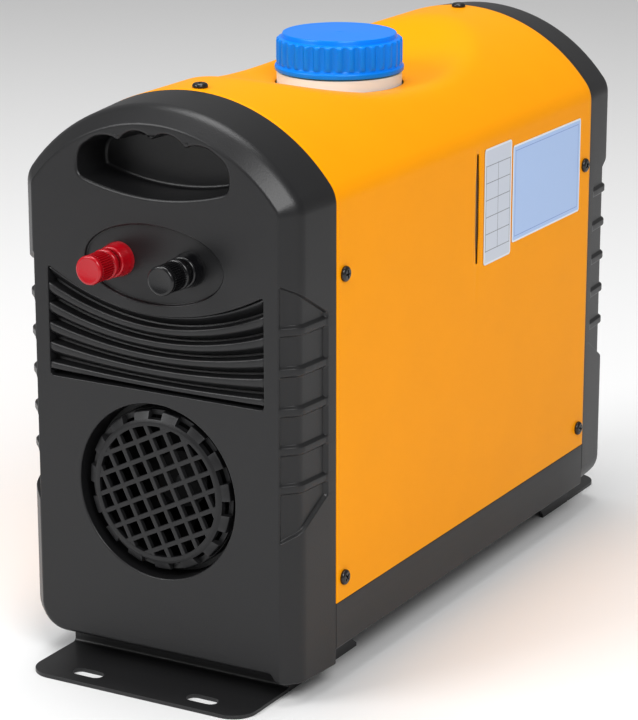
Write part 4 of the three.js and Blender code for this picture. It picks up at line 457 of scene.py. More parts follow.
def cover_skin():
    """The cover's outside from its hidden lip to its end face, as a closed grid.

    Each row is the arch with its bottom closed, at its own depth and inset. On the corner grips the
    surface is sunk along its normal by the pad depth times a row share and a column share.
    """
    edge = rounded_corners(
        [[0, 0], [29.95, 2.3], [COVER_DEPTH, 10.75], [COVER_DEPTH, 14]], [9.0, FACE_FILLET])[1:-1]
    wall_depth = np.concatenate([[1.2], PAD_BACK + EASE, [13, 18, 23]])
    wall = np.stack([wall_depth, wall_depth * 2.3 / 29.95], -1)
    chamfer = np.linspace(edge[5], edge[6], 4)[1:-1]
    outside = np.vstack([wall, edge[:6], chamfer, edge[6:]])
    start = np.array([[-16, 1.85], [-15, 1.8], [-0.4, 1.8], [0.12, 1.7], [0.12, 0.5], [0.3, 0.2]])
    rows = np.vstack([start, outside])
    depth, inset = rows.T
    lip = np.maximum(20.9 - COVER_BOTTOM, 0) * (depth < 0)
    rounding = np.sqrt(np.maximum(FACE_FILLET**2 - np.maximum(depth - COVER_DEPTH + FACE_FILLET, 0) ** 2, 0))
    bottom = COVER_BOTTOM + lip + FACE_FILLET - rounding
    toe = np.where(depth < 0, bottom, bottom - COVER_BOTTOM + TOE_BOTTOM)
    run = np.clip((depth - PAD_BACK) / (COVER_DEPTH - PAD_BACK), 0, 1)
    pad_top = PAD_TOP[0] + (PAD_TOP[1] - PAD_TOP[0]) * run
    pad_low = PAD_BOTTOM[0] + (PAD_BOTTOM[1] - PAD_BOTTOM[0]) * run
    columns, share = [], []

    def add(heights, sink):
        columns.append(np.broadcast_to(heights, (len(rows), np.shape(heights)[-1])))
        share.append(np.asarray(sink, float))

    add(COVER_BOTTOM + CORNER_ROUND + np.array([0, 20.0, 40.0]), [0, 0, 0])
    add(pad_low[:, None] + EASE, EASE_SHARE)
    for rib in RIB_Z:
        add(rib - RIB_HALF + EASE, 1 - (1 - RIB_SINK) * EASE_SHARE)
        add(rib + RIB_HALF + EASE, RIB_SINK + (1 - RIB_SINK) * EASE_SHARE)
    add(pad_top[:, None] + EASE, 1 - EASE_SHARE)
    add([228.0, 240.0], [0, 0])
    heights = np.hstack(columns)
    side_share = np.concatenate(share)
    crown_x = np.linspace(1, -1, 41)[1:-1] * CROWN_RADIUS * math.cos(SHOULDER_TURN)
    x, z = arch(inset, heights, crown_x)
    sides = np.zeros(x.shape[1])
    sides[: len(side_share)] = side_share
    sides[-len(side_share):] = side_share[::-1]
    tangent = np.gradient(rows, axis=0)
    length = np.hypot(*tangent.T)
    normal_out, normal_deep = tangent[:, 0] / length, tangent[:, 1] / length
    along = np.clip((depth - PAD_BACK + 0.95) / 1.9, 0, 1)
    along *= np.clip((COVER_DEPTH - depth) / 0.9, 0, 1)
    sink = PAD_DEPTH * along[:, None] * sides
    x = x - np.sign(x) * sink * normal_out[:, None]
    y = depth[:, None] - sink * normal_deep[:, None]
    half = HALF_WIDTH - inset
    angle = np.radians(np.linspace(180, 270, 9)[1:])
    round_x = -half[:, None] + CORNER_ROUND + CORNER_ROUND * np.cos(angle)
    round_z = bottom[:, None] + CORNER_ROUND + CORNER_ROUND * np.sin(angle)
    middle_x = np.broadcast_to(np.linspace(-55, TOE_START - 0.6, 9), (len(rows), 9))
    ramp_x = np.broadcast_to([TOE_START + 0.1, TOE_START + 0.6, TOE_END - 0.6, TOE_END - 0.1, TOE_END + 0.5],
                             (len(rows), 5))
    ramp_share = np.array([0.05, 0.2, 0.8, 0.95, 1.0])
    ramp_z = bottom[:, None] + (toe - bottom)[:, None] * ramp_share
    corner = np.radians(np.linspace(270, 360, 5))
    last_x = half[:, None] - 1.3 + 1.3 * np.cos(corner)
    last_z = toe[:, None] + 1.3 + 1.3 * np.sin(corner)
    x = np.hstack([x, round_x, middle_x, ramp_x, last_x])
    z = np.hstack([z, round_z, np.broadcast_to(bottom[:, None], (len(rows), 9)), ramp_z, last_z])
    y = np.hstack([y, np.broadcast_to(depth[:, None], (len(rows), x.shape[1] - y.shape[1]))])
    return np.stack([x, -SHELL_END - y, z], -1), grid_faces(*x.shape, closed=True)


def resampled(outline, spacing, softness):
    """A closed outline at even steps, its corners rounded by a running mean along it."""
    closed = np.vstack([outline, outline[:1]])
    run = np.concatenate([[0], np.cumsum(np.linalg.norm(np.diff(closed, axis=0), axis=1))])
    count = int(round(run[-1] / spacing))
    at = np.linspace(0, run[-1], count, endpoint=False)
    even = np.stack([np.interp(at, run, closed[:, i]) for i in (0, 1)], -1)
    width = int(round(softness / spacing))
    for _ in range(2):
        even = np.mean([np.roll(even, k, 0) for k in range(-width, width + 1)], axis=0)
    return even


def bezier(start, control, end, steps=16):
    """Points of a quadratic curve (1-s)^2 start + 2s(1-s) control + s^2 end."""
    s = np.linspace(0, 1, steps)[:, None]
    return (1 - s) ** 2 * np.array(start) + 2 * s * (1 - s) * np.array(control) + s**2 * np.array(end)


def handle_outline():
    """The handle's mouth: a shallow arc below, and four finger lobes on a line of cusps above.

    Each lobe's height over the line between its cusps is h (4 s (1 - s))^0.75.
    """
    x = np.linspace(0, 40, 40)
    low = np.stack([x, 253.9 + 136 - np.sqrt(136**2 - x**2)], -1)
    corner = bezier((40, 259.9), (43.9, 260.9), (43.9, 265.5))
    upper = bezier((43.9, 268.0), (43.9, 275.8), (37.0, 278.6))
    s = np.linspace(0, 1, 40)[:, None]
    bump = (4 * s * (1 - s)) ** 0.75
    outer = np.array([37.0, 278.6]) * (1 - s) + np.array([19.3, 280.2]) * s + bump * [0, 2.9]
    inner = np.array([19.3, 280.2]) * (1 - s) + np.array([0.0, 282.4]) * s + bump * [0, 4.9]
    right = np.vstack([low, corner, upper, outer, inner])
    left = right[::-1] * [-1, 1]
    return resampled(np.vstack([right, left]), 0.9, 1.0)


def ellipse(half_x, half_z, z, count):
    """An ellipse about the end's middle line: (a cos t, z + b sin t)."""
    t = np.linspace(0, 2 * np.pi, count, endpoint=False)
    return np.stack([half_x * np.cos(t), z + half_z * np.sin(t)], -1)


def inward(outline, distance):
    """An outline moved to its left by a distance, along the normal of its neighbours' chord."""
    chord = np.roll(outline, -1, 0) - np.roll(outline, 1, 0)
    normal = np.stack([-chord[:, 1], chord[:, 0]], -1) / np.hypot(*chord.T)[:, None]
    return outline + normal * distance


def recess(outline, depth, rim, foot, draft=0.0):
    """A recess's wall as a closed grid: a rounded rim, the wall, and a rounded foot.

    Each ring is the outline moved in by its own distance, at its own depth behind the end face.
    """
    a = np.radians(np.linspace(0, 90, 6))
    over = np.stack([-rim + rim * np.sin(a), rim - rim * np.cos(a)], -1)
    under = np.stack([draft + foot - foot * np.cos(a), depth - foot + foot * np.sin(a)], -1)
    profile = np.vstack([over, under])
    rings = [inward(outline, distance) for distance, _ in profile]
    points = np.stack([
        np.column_stack([ring[:, 0], np.full(len(ring), -END_FACE + deep), ring[:, 1]])
        for ring, (_, deep) in zip(rings, profile)
    ])
    return points, grid_faces(len(profile), len(outline), closed=True)


def flat_fill(*loops, plane=(0, 2)):
    """A flat face between loops of points in one plane, the first round the others."""
    flat = [[Vector((point[plane[0]], point[plane[1]], 0)) for point in loop] for loop in loops]
    return np.concatenate(loops), np.array(tessellate_polygon(flat))


LOUVRE_HALF = 63.0
LOUVRE_FLOOR = 6.0
SLAT_TOP = 188.5
SLAT_PITCH = 7.3
SLAT_COUNT = 5
SLAT_SLOPE = 0.6
SLAT_SAG = (14.2, 0.425, 0.13)
SLAT_UPPER = [(0.9, 6.0), (0.15, 5.7), (0.0, 5.3), (0.0, 1.35), (-0.1, 0.85), (-0.4, 0.5), (-0.9, 0.3),
              (-2.1, 0.32)]
SLAT_LOWER = [(-2.8, 0.6), (-3.4, 1.15), (-4.2, 2.3), (-5.2, 4.0), (-6.4, 6.0)]
SLAT_LAST = [(-2.4, 0.6), (-2.9, 1.6), (-3.3, 3.0), (-3.7, 6.0), (-4.9, 6.0)]


def louvre_outline():
    """The panel's outline: a straight foot, upright ends and z = 194.4 - 0.5 s + 17.8 s^2, s = x / half."""
    x = np.linspace(LOUVRE_HALF, -LOUVRE_HALF, 90)
    top = np.stack([x, 194.4 - 0.5 * x / LOUVRE_HALF + 17.8 * (x / LOUVRE_HALF) ** 2], -1)
    foot = np.stack([np.linspace(-LOUVRE_HALF, LOUVRE_HALF, 90), np.full(90, 154.7)], -1)
    return resampled(np.vstack([top, foot]), 1.1, 0.9)


def louvre_panel():
    """The panel's bent slats, one under the other, as one grid.

    Each slat has a flat top, a rounded front and an underside that slopes in to the floor. A row at
    middle height m and depth d bends as z = m - slope s + (sag + a (m - top) + b d) s^2, where
    s = x / half, and sag, a and b are the three numbers of SLAT_SAG.
    """
    rows = [(194.2, 0.7), (193.6, 1.2), (192.6, 2.2), (189.4, 6.0)]
    for k in range(SLAT_COUNT):
        lower = SLAT_LAST if k == SLAT_COUNT - 1 else SLAT_LOWER
        rows += [(SLAT_TOP - SLAT_PITCH * k + rise, deep) for rise, deep in SLAT_UPPER + lower]
    middle_z, deep = np.array(rows).T[..., None]
    x = np.linspace(-LOUVRE_HALF + 0.1, LOUVRE_HALF - 0.1, 61)
    share = x / LOUVRE_HALF
    sag, closing, leaning = SLAT_SAG
    z = middle_z - SLAT_SLOPE * share + (sag + closing * (middle_z - SLAT_TOP) + leaning * deep) * share**2
    y = np.broadcast_to(-END_FACE + deep, z.shape)
    return np.stack([np.broadcast_to(x, z.shape), y, z], -1), grid_faces(*z.shape)


DUCT_Z = 102.1
DUCT_RADIUS = 39.0
skin = cover_skin()
recesses = [
    recess(handle_outline(), 25.0, 1.7, 2.0, draft=0.6),
    recess(ellipse(40.3, 20.0, 220.2, 96), 2.0, 0.8, 0.5),
    recess(louvre_outline(), LOUVRE_FLOOR, 0.6, 0.3, draft=0.8),
    recess(ellipse(46.05, 46.05, DUCT_Z, 120), 15.0, 0.9, 0.8),
]
seat = [(42.6, 15.0), (42.6, 8.3), (42.3, 8.0), (DUCT_RADIUS, 8.0), (DUCT_RADIUS, 10.5)]
seat_rings = []
for radius, deep in seat:
    ring = ellipse(radius, radius, DUCT_Z, 120)
    seat_rings.append(np.column_stack([ring[:, 0], np.full(120, -END_FACE + deep), ring[:, 1]]))
cover_parts = [skin, *recesses]
cover_parts.append(flat_fill(skin[0][-1], *[points[0] for points, _ in recesses]))
cover_parts += [flat_fill(recesses[0][0][-1]), flat_fill(recesses[1][0][-1])]
cover_parts.append((np.stack([recesses[3][0][-1], *seat_rings]),
                    grid_faces(len(seat) + 1, 120, closed=True)))
cover_groups = [(cover_parts, None), ([louvre_panel()], (0, -1, 0.4))]
BLACK_PLASTIC = finished("black plastic", (0.016, 0.016, 0.017), 0.36, patch=0.05,
                         grain=(1300.0, 0.22), wear_and_highlight=0.30, worn_and_lit=(0.085, 0.085, 0.088))


def turned_round(groups):
    """The same pieces turned half round the upright axis: x and y change sign."""
    half_turn = np.array([-1.0, -1.0, 1.0])
    return [
        ([(np.reshape(points, (-1, 3)) * half_turn, faces) for points, faces in parts],
         None if way is None else tuple(np.array(way) * half_turn))
        for parts, way in groups
    ]


make_piece("end_cover_intake", cover_groups, "body", ["cover_intake"], BLACK_PLASTIC,
           wall=1.8)
make_piece("end_cover_outlet", turned_round(cover_groups), "body", ["cover_outlet"],
           BLACK_PLASTIC, wall=1.8)

# ---------------------------------------------------------------------------------------------
# Feet
# Folded black sheet. An ear with two slots lies on the floor, a riser leads up under the cover to a
# stepped flange below the tray, and a gusset wing runs down each side.

FOOT_HALF = 65.5
FOOT_REACH = 214.8
FOOT_BEND = 171.0
FOOT_CORNER = 13.0
FOOT_SLOTS = ((-34.6, -202.9), (34.6, -202.9))


def foot_groups(wing_end):
    """A foot for the intake end; its wings run in to y = -wing_end."""
    left = fillet((-FOOT_HALF + FOOT_CORNER, -FOOT_REACH + FOOT_CORNER), FOOT_CORNER, 180, 90, 12)
    right = fillet((FOOT_HALF - FOOT_CORNER, -FOOT_REACH + FOOT_CORNER), FOOT_CORNER, 270, 90, 12)
    edge = np.vstack([[[-FOOT_HALF, -FOOT_BEND]], left, right, [[FOOT_HALF, -FOOT_BEND]]])
    loops = [edge]
    for x, y in FOOT_SLOTS:
        loops.append(np.vstack([fillet((x + 5, y), 4.0, -90, 180, 12), fillet((x - 5, y), 4.0, 90, 180, 12)]))
    ear = flat_fill(*[np.column_stack([loop, np.full(len(loop), 2.0)]) for loop in loops], plane=(0, 1))
    profile = np.vstack([
        fillet((-FOOT_BEND, 4.0), 2.0, -90, 90), fillet((-167.0, 13.2), 2.0, 180, -90),
        fillet((-151.3, 16.4), 1.2, -90, 90), fillet((-148.9, 17.7), 1.2, 180, -90), [[-118.0, 18.9]],
    ])
    groups = [([ear, swept(profile, [-FOOT_HALF, FOOT_HALF], axis=0)], (0, -1, 1))]
    for side in (-1, 1):
        outline = np.array([[-168.9, 0.0], [-wing_end, 0.0], [-wing_end, 2.0], [-118.0, 16.9],
                            [-118.0, 18.8], [-149.9, 18.8], [-150.0, 15.1], [-168.9, 15.1]])
        wing = np.column_stack([np.full(len(outline), side * (FOOT_HALF + 0.02)), outline])
        groups.append(([flat_fill(wing, plane=(1, 2))], (side, 0, 0)))
    return groups


BLACK_STEEL = finished("black steel", (0.026, 0.026, 0.027), 0.36, patch=0.05, grain=(900.0, 0.12),
                       wear_and_highlight=0.4, worn_and_lit=(0.12, 0.12, 0.125))
make_piece("foot_sheet_intake", foot_groups(98.0), "body", ["foot_intake"], BLACK_STEEL,
           wall=2.0, bevel=0.3)
make_piece("foot_sheet_outlet", turned_round(foot_groups(134.0)), "body", ["foot_outlet"],
           BLACK_STEEL, wall=2.0, bevel=0.3)

# ---------------------------------------------------------------------------------------------
# Screws
# Cross-recessed pan heads: ten black ones hold the shell to the covers, and four plated ones hold
# the feet to the tray.


def spun(rings, place=(0, 0, 0), axis="z", count=64, wave=None):
    """Rings (radius, height) about an axis through a place, closed round.

    A wave is a function of the angle; a ring with a third number has its radius changed by that
    number times the wave.
    """
    turn = np.linspace(0, 2 * np.pi, count, endpoint=False)
    rings = [tuple(ring) + (0.0,) * (3 - len(ring)) for ring in rings]
    radius, height, swing = (np.reshape(part, (-1, 1)) for part in zip(*rings))
    radius = radius + swing * (wave(turn) if wave else 0 * turn)
    height = np.broadcast_to(height, radius.shape)
    across, up = radius * np.cos(turn), radius * np.sin(turn)
    points = np.stack((across, up, height) if axis == "z" else (across, height, up), -1)
    return points + np.array(place, float), grid_faces(*radius.shape, closed=True)


def cross(arm, half, height):
    """A plus sign's twelve corners at one height."""
    quarter = np.array([[arm, -half], [arm, half], [half, half]])
    turns = [np.array([[math.cos(a), -math.sin(a)], [math.sin(a), math.cos(a)]])
             for a in (0, math.pi / 2, math.pi, 3 * math.pi / 2)]
    flat = np.vstack([quarter @ turn.T for turn in turns])
    return np.column_stack([flat, np.full(len(flat), height)])


def screw_parts():
    """A screw along +Z: its head stands on z = 0 and its shank runs down."""
    head = spun([(0, -10), (1.4, -10), (2, -9.4), (2, 0), (3.85, 0), (4, 0.15), (4, 0.7), (3.93, 1.1),
                 (3.72, 1.5), (3.35, 1.85), (2.9, 2.1), (2.6, 2.2)], count=40)
    recess_rings = np.stack([cross(2.2, 0.52, 2.2), cross(2.05, 0.45, 2.0), cross(1.3, 0.3, 0.9)])
    return [head, flat_fill(head[0][-1], recess_rings[0], plane=(0, 1)),
            (recess_rings, grid_faces(3, 12, closed=True)), flat_fill(recess_rings[-1], plane=(0, 1))]


def placed(parts, out, place, spin=0.0):
    """Parts built along +Z, spun about it, turned to face out along a direction and moved."""
    c, s = math.cos(spin), math.sin(spin)
    turn = np.array(Vector((0, 0, 1)).rotation_difference(Vector(out)).to_matrix())
    turn = turn @ np.array([[c, -s, 0], [s, c, 0], [0, 0, 1]])
    return [(np.reshape(points, (-1, 3)) @ turn.T + np.array(place), faces) for points, faces in parts]


def middle_of(node):
    """The middle of a CAD node's box, in millimetres."""
    low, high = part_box(node)
    return (np.array(low) + np.array(high)) * 500


BLACK_SCREW = finished("black screw", (0.012, 0.012, 0.012), 0.24, patch=0.05, grain=(600.0, 0.05),
                       wear_and_highlight=0.6, worn_and_lit=(0.09, 0.09, 0.09), specular=0.7)
PLATED = finished("plated steel", (0.72, 0.72, 0.71), 0.26, patch=0.12, grain=(500.0, 0.04), wear_and_highlight=0.2,
                  metallic=1.0)
screw = screw_parts()
shell_screws = [f"screw_{end}_{side}_{height}" for end in ("intake", "outlet")
                for side in ("left", "right") for height in ("low", "high")]
for turn, node in enumerate(shell_screws):
    x, y, z = middle_of(node)
    side = math.copysign(1, x)
    parts = placed(screw, (side, 0, 0), (side * HALF_WIDTH, y, z), 0.5 + 0.9 * turn)
    make_piece("pan_" + node, [(parts, None)], "body", [node], BLACK_SCREW)
for turn, node in enumerate(("screw_intake_top", "screw_outlet_top")):
    x, y, _ = middle_of(node)
    parts = placed(screw, (0, 0, 1), (x, y, 301.4), 0.4 + turn)
    make_piece("pan_" + node, [(parts, None)], "body", [node], BLACK_SCREW)
for turn, node in enumerate(f"foot_screw_{end}_{side}" for end in ("intake", "outlet")
                            for side in ("left", "right")):
    x, y, _ = middle_of(node)
    parts = placed(screw, (0, 0, -1), (x, y, 17.0), 1.3 * turn)
    make_piece("pan_" + node, [(parts, None)], "body", [node], PLATED)

# ---------------------------------------------------------------------------------------------
# Intake grille
# A moulded ring whose rim has fifteen teeth with notches between them, and two families of bars
# that cross in its middle, turned from the upright.

GRILLE_FACE = -END_FACE + 0.3
GRILLE_TURN = math.radians(26.3)
GRILLE_PITCH = 9.1
TOOTH_COUNT = 15
TOOTH_START = 0.33
TOOTH_HALF = 6.4


def grille_ring():
    """The ring's front band and back rim, and the teeth that join them.

    A tooth's section is swept through +-TOOTH_HALF degrees and closed at both ends.
    """
    front = [(34.4, 2.4), (34.4, 0.4), (34.55, 0.1), (34.8, 0.0), (36.2, 0.0), (36.7, 0.12), (37.7, 0.57),
             (37.95, 0.72), (38.0, 0.9), (38.0, 4.1), (35.5, 2.4)]
    back = [(39.3, 5.4), (41.9, 5.4), (42.0, 5.5), (42.0, 7.5), (41.8, 7.7), (39.4, 7.7)]
    tooth = np.array([(37.6, 1.3), (37.9, 0.74), (41.1, 2.22), (41.6, 2.5), (41.9, 2.9), (41.97, 3.4),
                      (41.97, 6.2), (40.0, 6.2), (37.6, 3.6)])
    parts = []
    for rings in (front, back):
        rings = [(radius, GRILLE_FACE + deep) for radius, deep in rings + rings[:1]]
        parts.append(spun(rings, (0, 0, DUCT_Z), "y", 120))
    radius, deep = np.vstack([tooth, tooth[:1]]).T
    for number in range(TOOTH_COUNT):
        middle = 360 / TOOTH_COUNT * (number + TOOTH_START)
        turn = np.radians(middle + np.linspace(-TOOTH_HALF, TOOTH_HALF, 5))[:, None]
        points = np.stack([radius * np.cos(turn), np.broadcast_to(GRILLE_FACE + deep, (5, len(deep))),
                           DUCT_Z + radius * np.sin(turn)], -1)
        plane = (0, 1) if abs(np.cos(turn[2, 0])) > 0.7 else (2, 1)
        parts.append((points, grid_faces(*points.shape[:2])))
        parts += [flat_fill(points[end][:-1], plane=plane) for end in (0, -1)]
    return parts


def grille_bars():
    """The bars: a bar at u = i pitch is as long as the ring's bore there."""
    section = np.array([[-1.3, 2.4], [-1.3, 0.45], [-1.15, 0.14], [-0.85, 0.0], [0.85, 0.0],
                        [1.15, 0.14], [1.3, 0.45], [1.3, 2.4], [-1.3, 2.4]])
    parts = []
    for family, shift in ((0, 0.0), (1, 0.06)):
        angle = GRILLE_TURN + family * math.pi / 2
        along = np.array([math.cos(angle), math.sin(angle)])
        across = np.array([-math.sin(angle), math.cos(angle)])
        for i in range(-3, 4):
            half = math.sqrt(35.2**2 - (i * GRILLE_PITCH) ** 2)
            stations = np.array([-half, half])[:, None, None] * along
            flat = stations + (i * GRILLE_PITCH + section[:, :1]) * across
            deep = np.broadcast_to(GRILLE_FACE + 0.12 + shift + section[:, 1], flat.shape[:2])
            points = np.stack([flat[..., 0], deep, DUCT_Z + flat[..., 1]], -1)
            parts.append((points, grid_faces(2, len(section))))
    return parts


GRILLE_PLASTIC = finished("grille plastic", (0.010, 0.010, 0.011), 0.40, patch=0.06,
                          grain=(1300.0, 0.2), wear_and_highlight=0.35, worn_and_lit=(0.10, 0.10, 0.103))
make_piece("intake_mesh", [(grille_ring(), None)] + [([bar], None) for bar in grille_bars()],
           "body", ["intake_grille"], GRILLE_PLASTIC)

# ---------------------------------------------------------------------------------------------
# Power terminals
# A red and a black one: a flared base in the oval recess, a plated stud with its captive washer, and
# a screw-on knob with a fine knurl.

TERMINAL_Z = 220.5
RED_PLASTIC = finished("red plastic", (0.42, 0.003, 0.012), 0.22, patch=0.04, grain=(900.0, 0.05),
                       wear_and_highlight=0.35, worn_and_lit=(0.75, 0.14, 0.15), coat=0.25)
GLOSS_BLACK = finished("gloss black", (0.006, 0.006, 0.007), 0.22, patch=0.05, grain=(900.0, 0.05),
                       wear_and_highlight=0.4, worn_and_lit=(0.12, 0.12, 0.12), coat=0.2)
TERMINAL_BASE = [(3, -2), (8.9, -2), (8.9, 0.6), (8.8, 1.4), (8.55, 2.4), (8.35, 3.6), (8.2, 5.0),
                 (8.1, 5.9), (7.9, 6.5), (7.55, 6.9), (7.1, 7.0), (6.5, 7.0), (6.2, 6.85), (6.1, 6.4),
                 (6.1, 5.6), (3, 5.6), (3, -2)]
TERMINAL_STUD = [(0, 20), (2.2, 20), (2.7, 19.4)] + [
    (2.7 - 0.28 * (step % 2), 19.1 - 0.5 * step) for step in range(24)] + [
    (2.7, 7), (2.7, -5.15), (5.3, -5.15), (5.3, -9.15), (2.7, -9.15), (2.7, -21.15), (0, -21.15)]
TERMINAL_WASHER = [(3, 8.8), (5.8, 8.8), (6, 9.0), (6, 9.8), (5.8, 10), (3, 10), (3, 8.8)]
KNOB = [(0, 23), (2.6, 23), (3, 22.6), (3, 10.3), (3.3, 10), (7.4, 10), (7.7, 10.15), (7.8, 10.5),
        (7.8, 12.0), (7.65, 12.35), (7.3, 12.6), (6.85, 12.75), (6.9, 13.1, 0.5), (6.9, 17.0, 0.5),
        (6.9, 22.6, 0.5), (6.85, 22.9), (7.25, 23.0), (7.45, 23.3), (7.45, 24.8), (7.35, 25.35),
        (7.0, 25.8), (6.5, 26.0), (5.9, 26.0), (5.6, 25.9), (0, 25.9)]


def knurl(turn):
    """Thirty-six rounded teeth round a turn, from -1 to 1."""
    return np.tanh(1.6 * np.cos(36 * turn))


for colour, material, slot_name, x in (("red", RED_PLASTIC, "red_plastic", -20.8),
                                       ("black", GLOSS_BLACK, "gloss_black", 20.8)):
    place = (x, -END_FACE, TERMINAL_Z)
    for part, rings, body, finish, slot in (
        ("base", TERMINAL_BASE, "body", material, slot_name),
        ("stud", TERMINAL_STUD, "body", PLATED, "plated_steel"),
        ("washer", TERMINAL_WASHER, f"{colour}_lift", PLATED, "plated_steel"),
        ("knob", KNOB, f"{colour}_knob", material, slot_name),
    ):
        waved = part == "knob"
        form = spun(rings, count=360 if waved else 72, wave=knurl if waved else None)
        make_piece(f"{colour}_{part}_turned", [(placed([form], (0, -1, 0), place), None)], body,
                   [f"{colour}_terminal_{part}"], finish)

# ---------------------------------------------------------------------------------------------
# Fuel tank
# Blow-moulded white plastic with rounded corners. Its collar and threaded neck stand up through
# the shell's dish.

TANK_HALF = 78.5
TANK_END = 128.0
TANK_LOW = 170.0
TANK_TOP = 270.0
NECK_PITCH = 6.0
NECK_RADIUS = 29.3
THREAD_HEIGHT = 0.95
THREAD_FOOT = 288.2
THREAD_TOP = 301.6
THREAD_FADE = 2.5


def tank_skin(inset, mouth):
    """The tank's outside, or its inside at an inset, with a round mouth in its top.

    Each ring is the rounded section moved in by its own distance; the last ones round the ends.
    """
    half, low, high = TANK_HALF, TANK_LOW, TANK_TOP
    a = np.radians([0, 30, 60, 90])
    soft = 5.0
    ends = [(inset + soft * (1 - math.sin(t)), TANK_END - inset - soft * (1 - math.cos(t))) for t in a]
    stations = [(grow, -y) for grow, y in ends] + [(inset, -50.0), (inset, 50.0)]
    stations += [(grow, y) for grow, y in reversed(ends)]
    rows = []
    for grow, y in stations:
        upper, lower = 24.0 - grow, max(6.0 - grow, 1.5)
        section = np.vstack([
            fillet((half - grow - upper, high - grow - upper), upper, 90, -90, 9),
            fillet((half - grow - lower, low + grow + lower), lower, 0, -90, 5),
            fillet((-half + grow + lower, low + grow + lower), lower, -90, -90, 5),
            fillet((-half + grow + upper, high - grow - upper), upper, 180, -90, 9),
        ])
        rows.append(np.column_stack([section[:, 0], np.full(len(section), y), section[:, 1]]))
    rows = np.stack(rows)
    dropped = np.zeros((len(rows) - 1, rows.shape[1]), bool)
    dropped[len(ends), -1] = True
    top = rows[len(ends)][[0, -1]], rows[len(ends) + 1][[-1, 0]]
    circle = np.radians(np.linspace(0, 360, 96, endpoint=False))
    hole = np.column_stack([mouth * np.cos(circle), mouth * np.sin(circle), np.full(96, high - inset)])
    return [
        (rows, grid_faces(*rows.shape[:2], closed=True, dropped=dropped)),
        flat_fill(rows[0], plane=(0, 2)), flat_fill(rows[-1], plane=(0, 2)),
        flat_fill(np.vstack(top), hole, plane=(0, 1)),
    ]


def tank_neck():
    """The collar, the threaded neck and its bore.

    Thread: radius = neck + height max(0, cos(2 pi z / pitch - a))^1.5, faded out at both ends.
    """
    turn = np.linspace(0, 2 * np.pi, 96, endpoint=False)
    low = [(34, 270), (34, 286.2), (33.7, 286.9), (33.0, 287.2), (30.0, 287.2), (29.4, 287.5)]
    heights = np.linspace(THREAD_FOOT, THREAD_TOP, 40)
    high = [(NECK_RADIUS, 302.2), (29.1, 302.8), (28.6, 303), (27.5, 303), (27.0, 302.6), (27, 267)]
    low, high = np.array(low), np.array(high)
    crest = np.maximum(0, np.cos(2 * np.pi * (heights[:, None] / NECK_PITCH) - turn)) ** 1.5
    rising = np.clip((heights - THREAD_FOOT) / THREAD_FADE, 0, 1)
    falling = np.clip((THREAD_TOP - heights) / THREAD_FADE, 0, 1)
    fade = rising * falling
    middle = NECK_RADIUS + THREAD_HEIGHT * crest * fade[:, None]
    radius = np.vstack([np.repeat(low[:, :1], len(turn), 1), middle, np.repeat(high[:, :1], len(turn), 1)])
    height = np.concatenate([low[:, 1], heights, high[:, 1]])[:, None]
    up = np.broadcast_to(height, radius.shape)
    points = np.stack([radius * np.cos(turn), radius * np.sin(turn), up], -1)
    return points, grid_faces(*radius.shape, closed=True)


# The tank's pale blue tint is painted light: it cancels the warm light that the yellow shell bounces onto the
# white plastic.
TANK_PLASTIC = finished("tank plastic", (0.74, 0.82, 0.90), 0.38, patch=0.03, grain=(500.0, 0.06),
                        swell=0.15, wear_and_highlight=0.0)
spigot = spun([(1.5, 129), (3.3, 129), (3.5, 129), (3.5, 134), (3.8, 134.4), (3.5, 136.4), (3.2, 137),
               (1.6, 137), (1.5, 129)], place=(57.5, 0, 180), axis="y", count=24)
make_piece("tank_moulding", [(tank_skin(0.0, 34.0) + [tank_neck()] + tank_skin(3.0, 27.0), None),
                             ([spigot], None)],
           "body", ["fuel_tank"], TANK_PLASTIC)

# ---------------------------------------------------------------------------------------------
# Fuel cap
# A blue screw cap: thirty-four broad ribs between a smooth shoulder and a bead at its foot.


def ribs(turn):
    """Thirty-four ribs round a turn, from -1 between them to 1 on them."""
    return np.tanh(2.0 * np.sin(34 * turn))


CAP = [(0, 304.5), (30.6, 304.5), (31.1, 304.0), (31.1, 288.2), (31.4, 287.7), (34.5, 287.7),
       (34.9, 287.9), (35.04, 288.4), (35.04, 289.8), (34.85, 290.4), (34.3, 290.8), (33.7, 291.1),
       (33.55, 291.6, 0.1), (33.65, 292.3, 0.55), (33.67, 294, 0.62), (33.67, 298, 0.62),
       (33.67, 303.4, 0.62), (33.62, 304.2, 0.56), (33.45, 304.7, 0.35), (33.2, 305.0, 0.1), (32.8, 305.15),
       (31.7, 305.25), (31.35, 305.45), (31.2, 305.9), (30.95, 307.3), (30.7, 307.8), (30.2, 308.0),
       (29.6, 308.0), (29.0, 307.85), (12, 308.2), (3.2, 308.3), (2.6, 308.4), (0, 308.43)]
BLUE_PLASTIC = finished("blue plastic", (0.0, 0.235, 0.88), 0.30, patch=0.04, grain=(800.0, 0.08),
                        wear_and_highlight=0.25, worn_and_lit=(0.10, 0.42, 0.92), coat=0.05, specular=0.3)
make_piece("cap_moulding", [([spun(CAP, count=408, wave=ribs)], None)], "cap", ["fuel_cap"],
           BLUE_PLASTIC)

# ---------------------------------------------------------------------------------------------
# Warm-air outlet
# A fixed ring in the far cover's round recess, and a louvre with four tilted slats that turns in it.

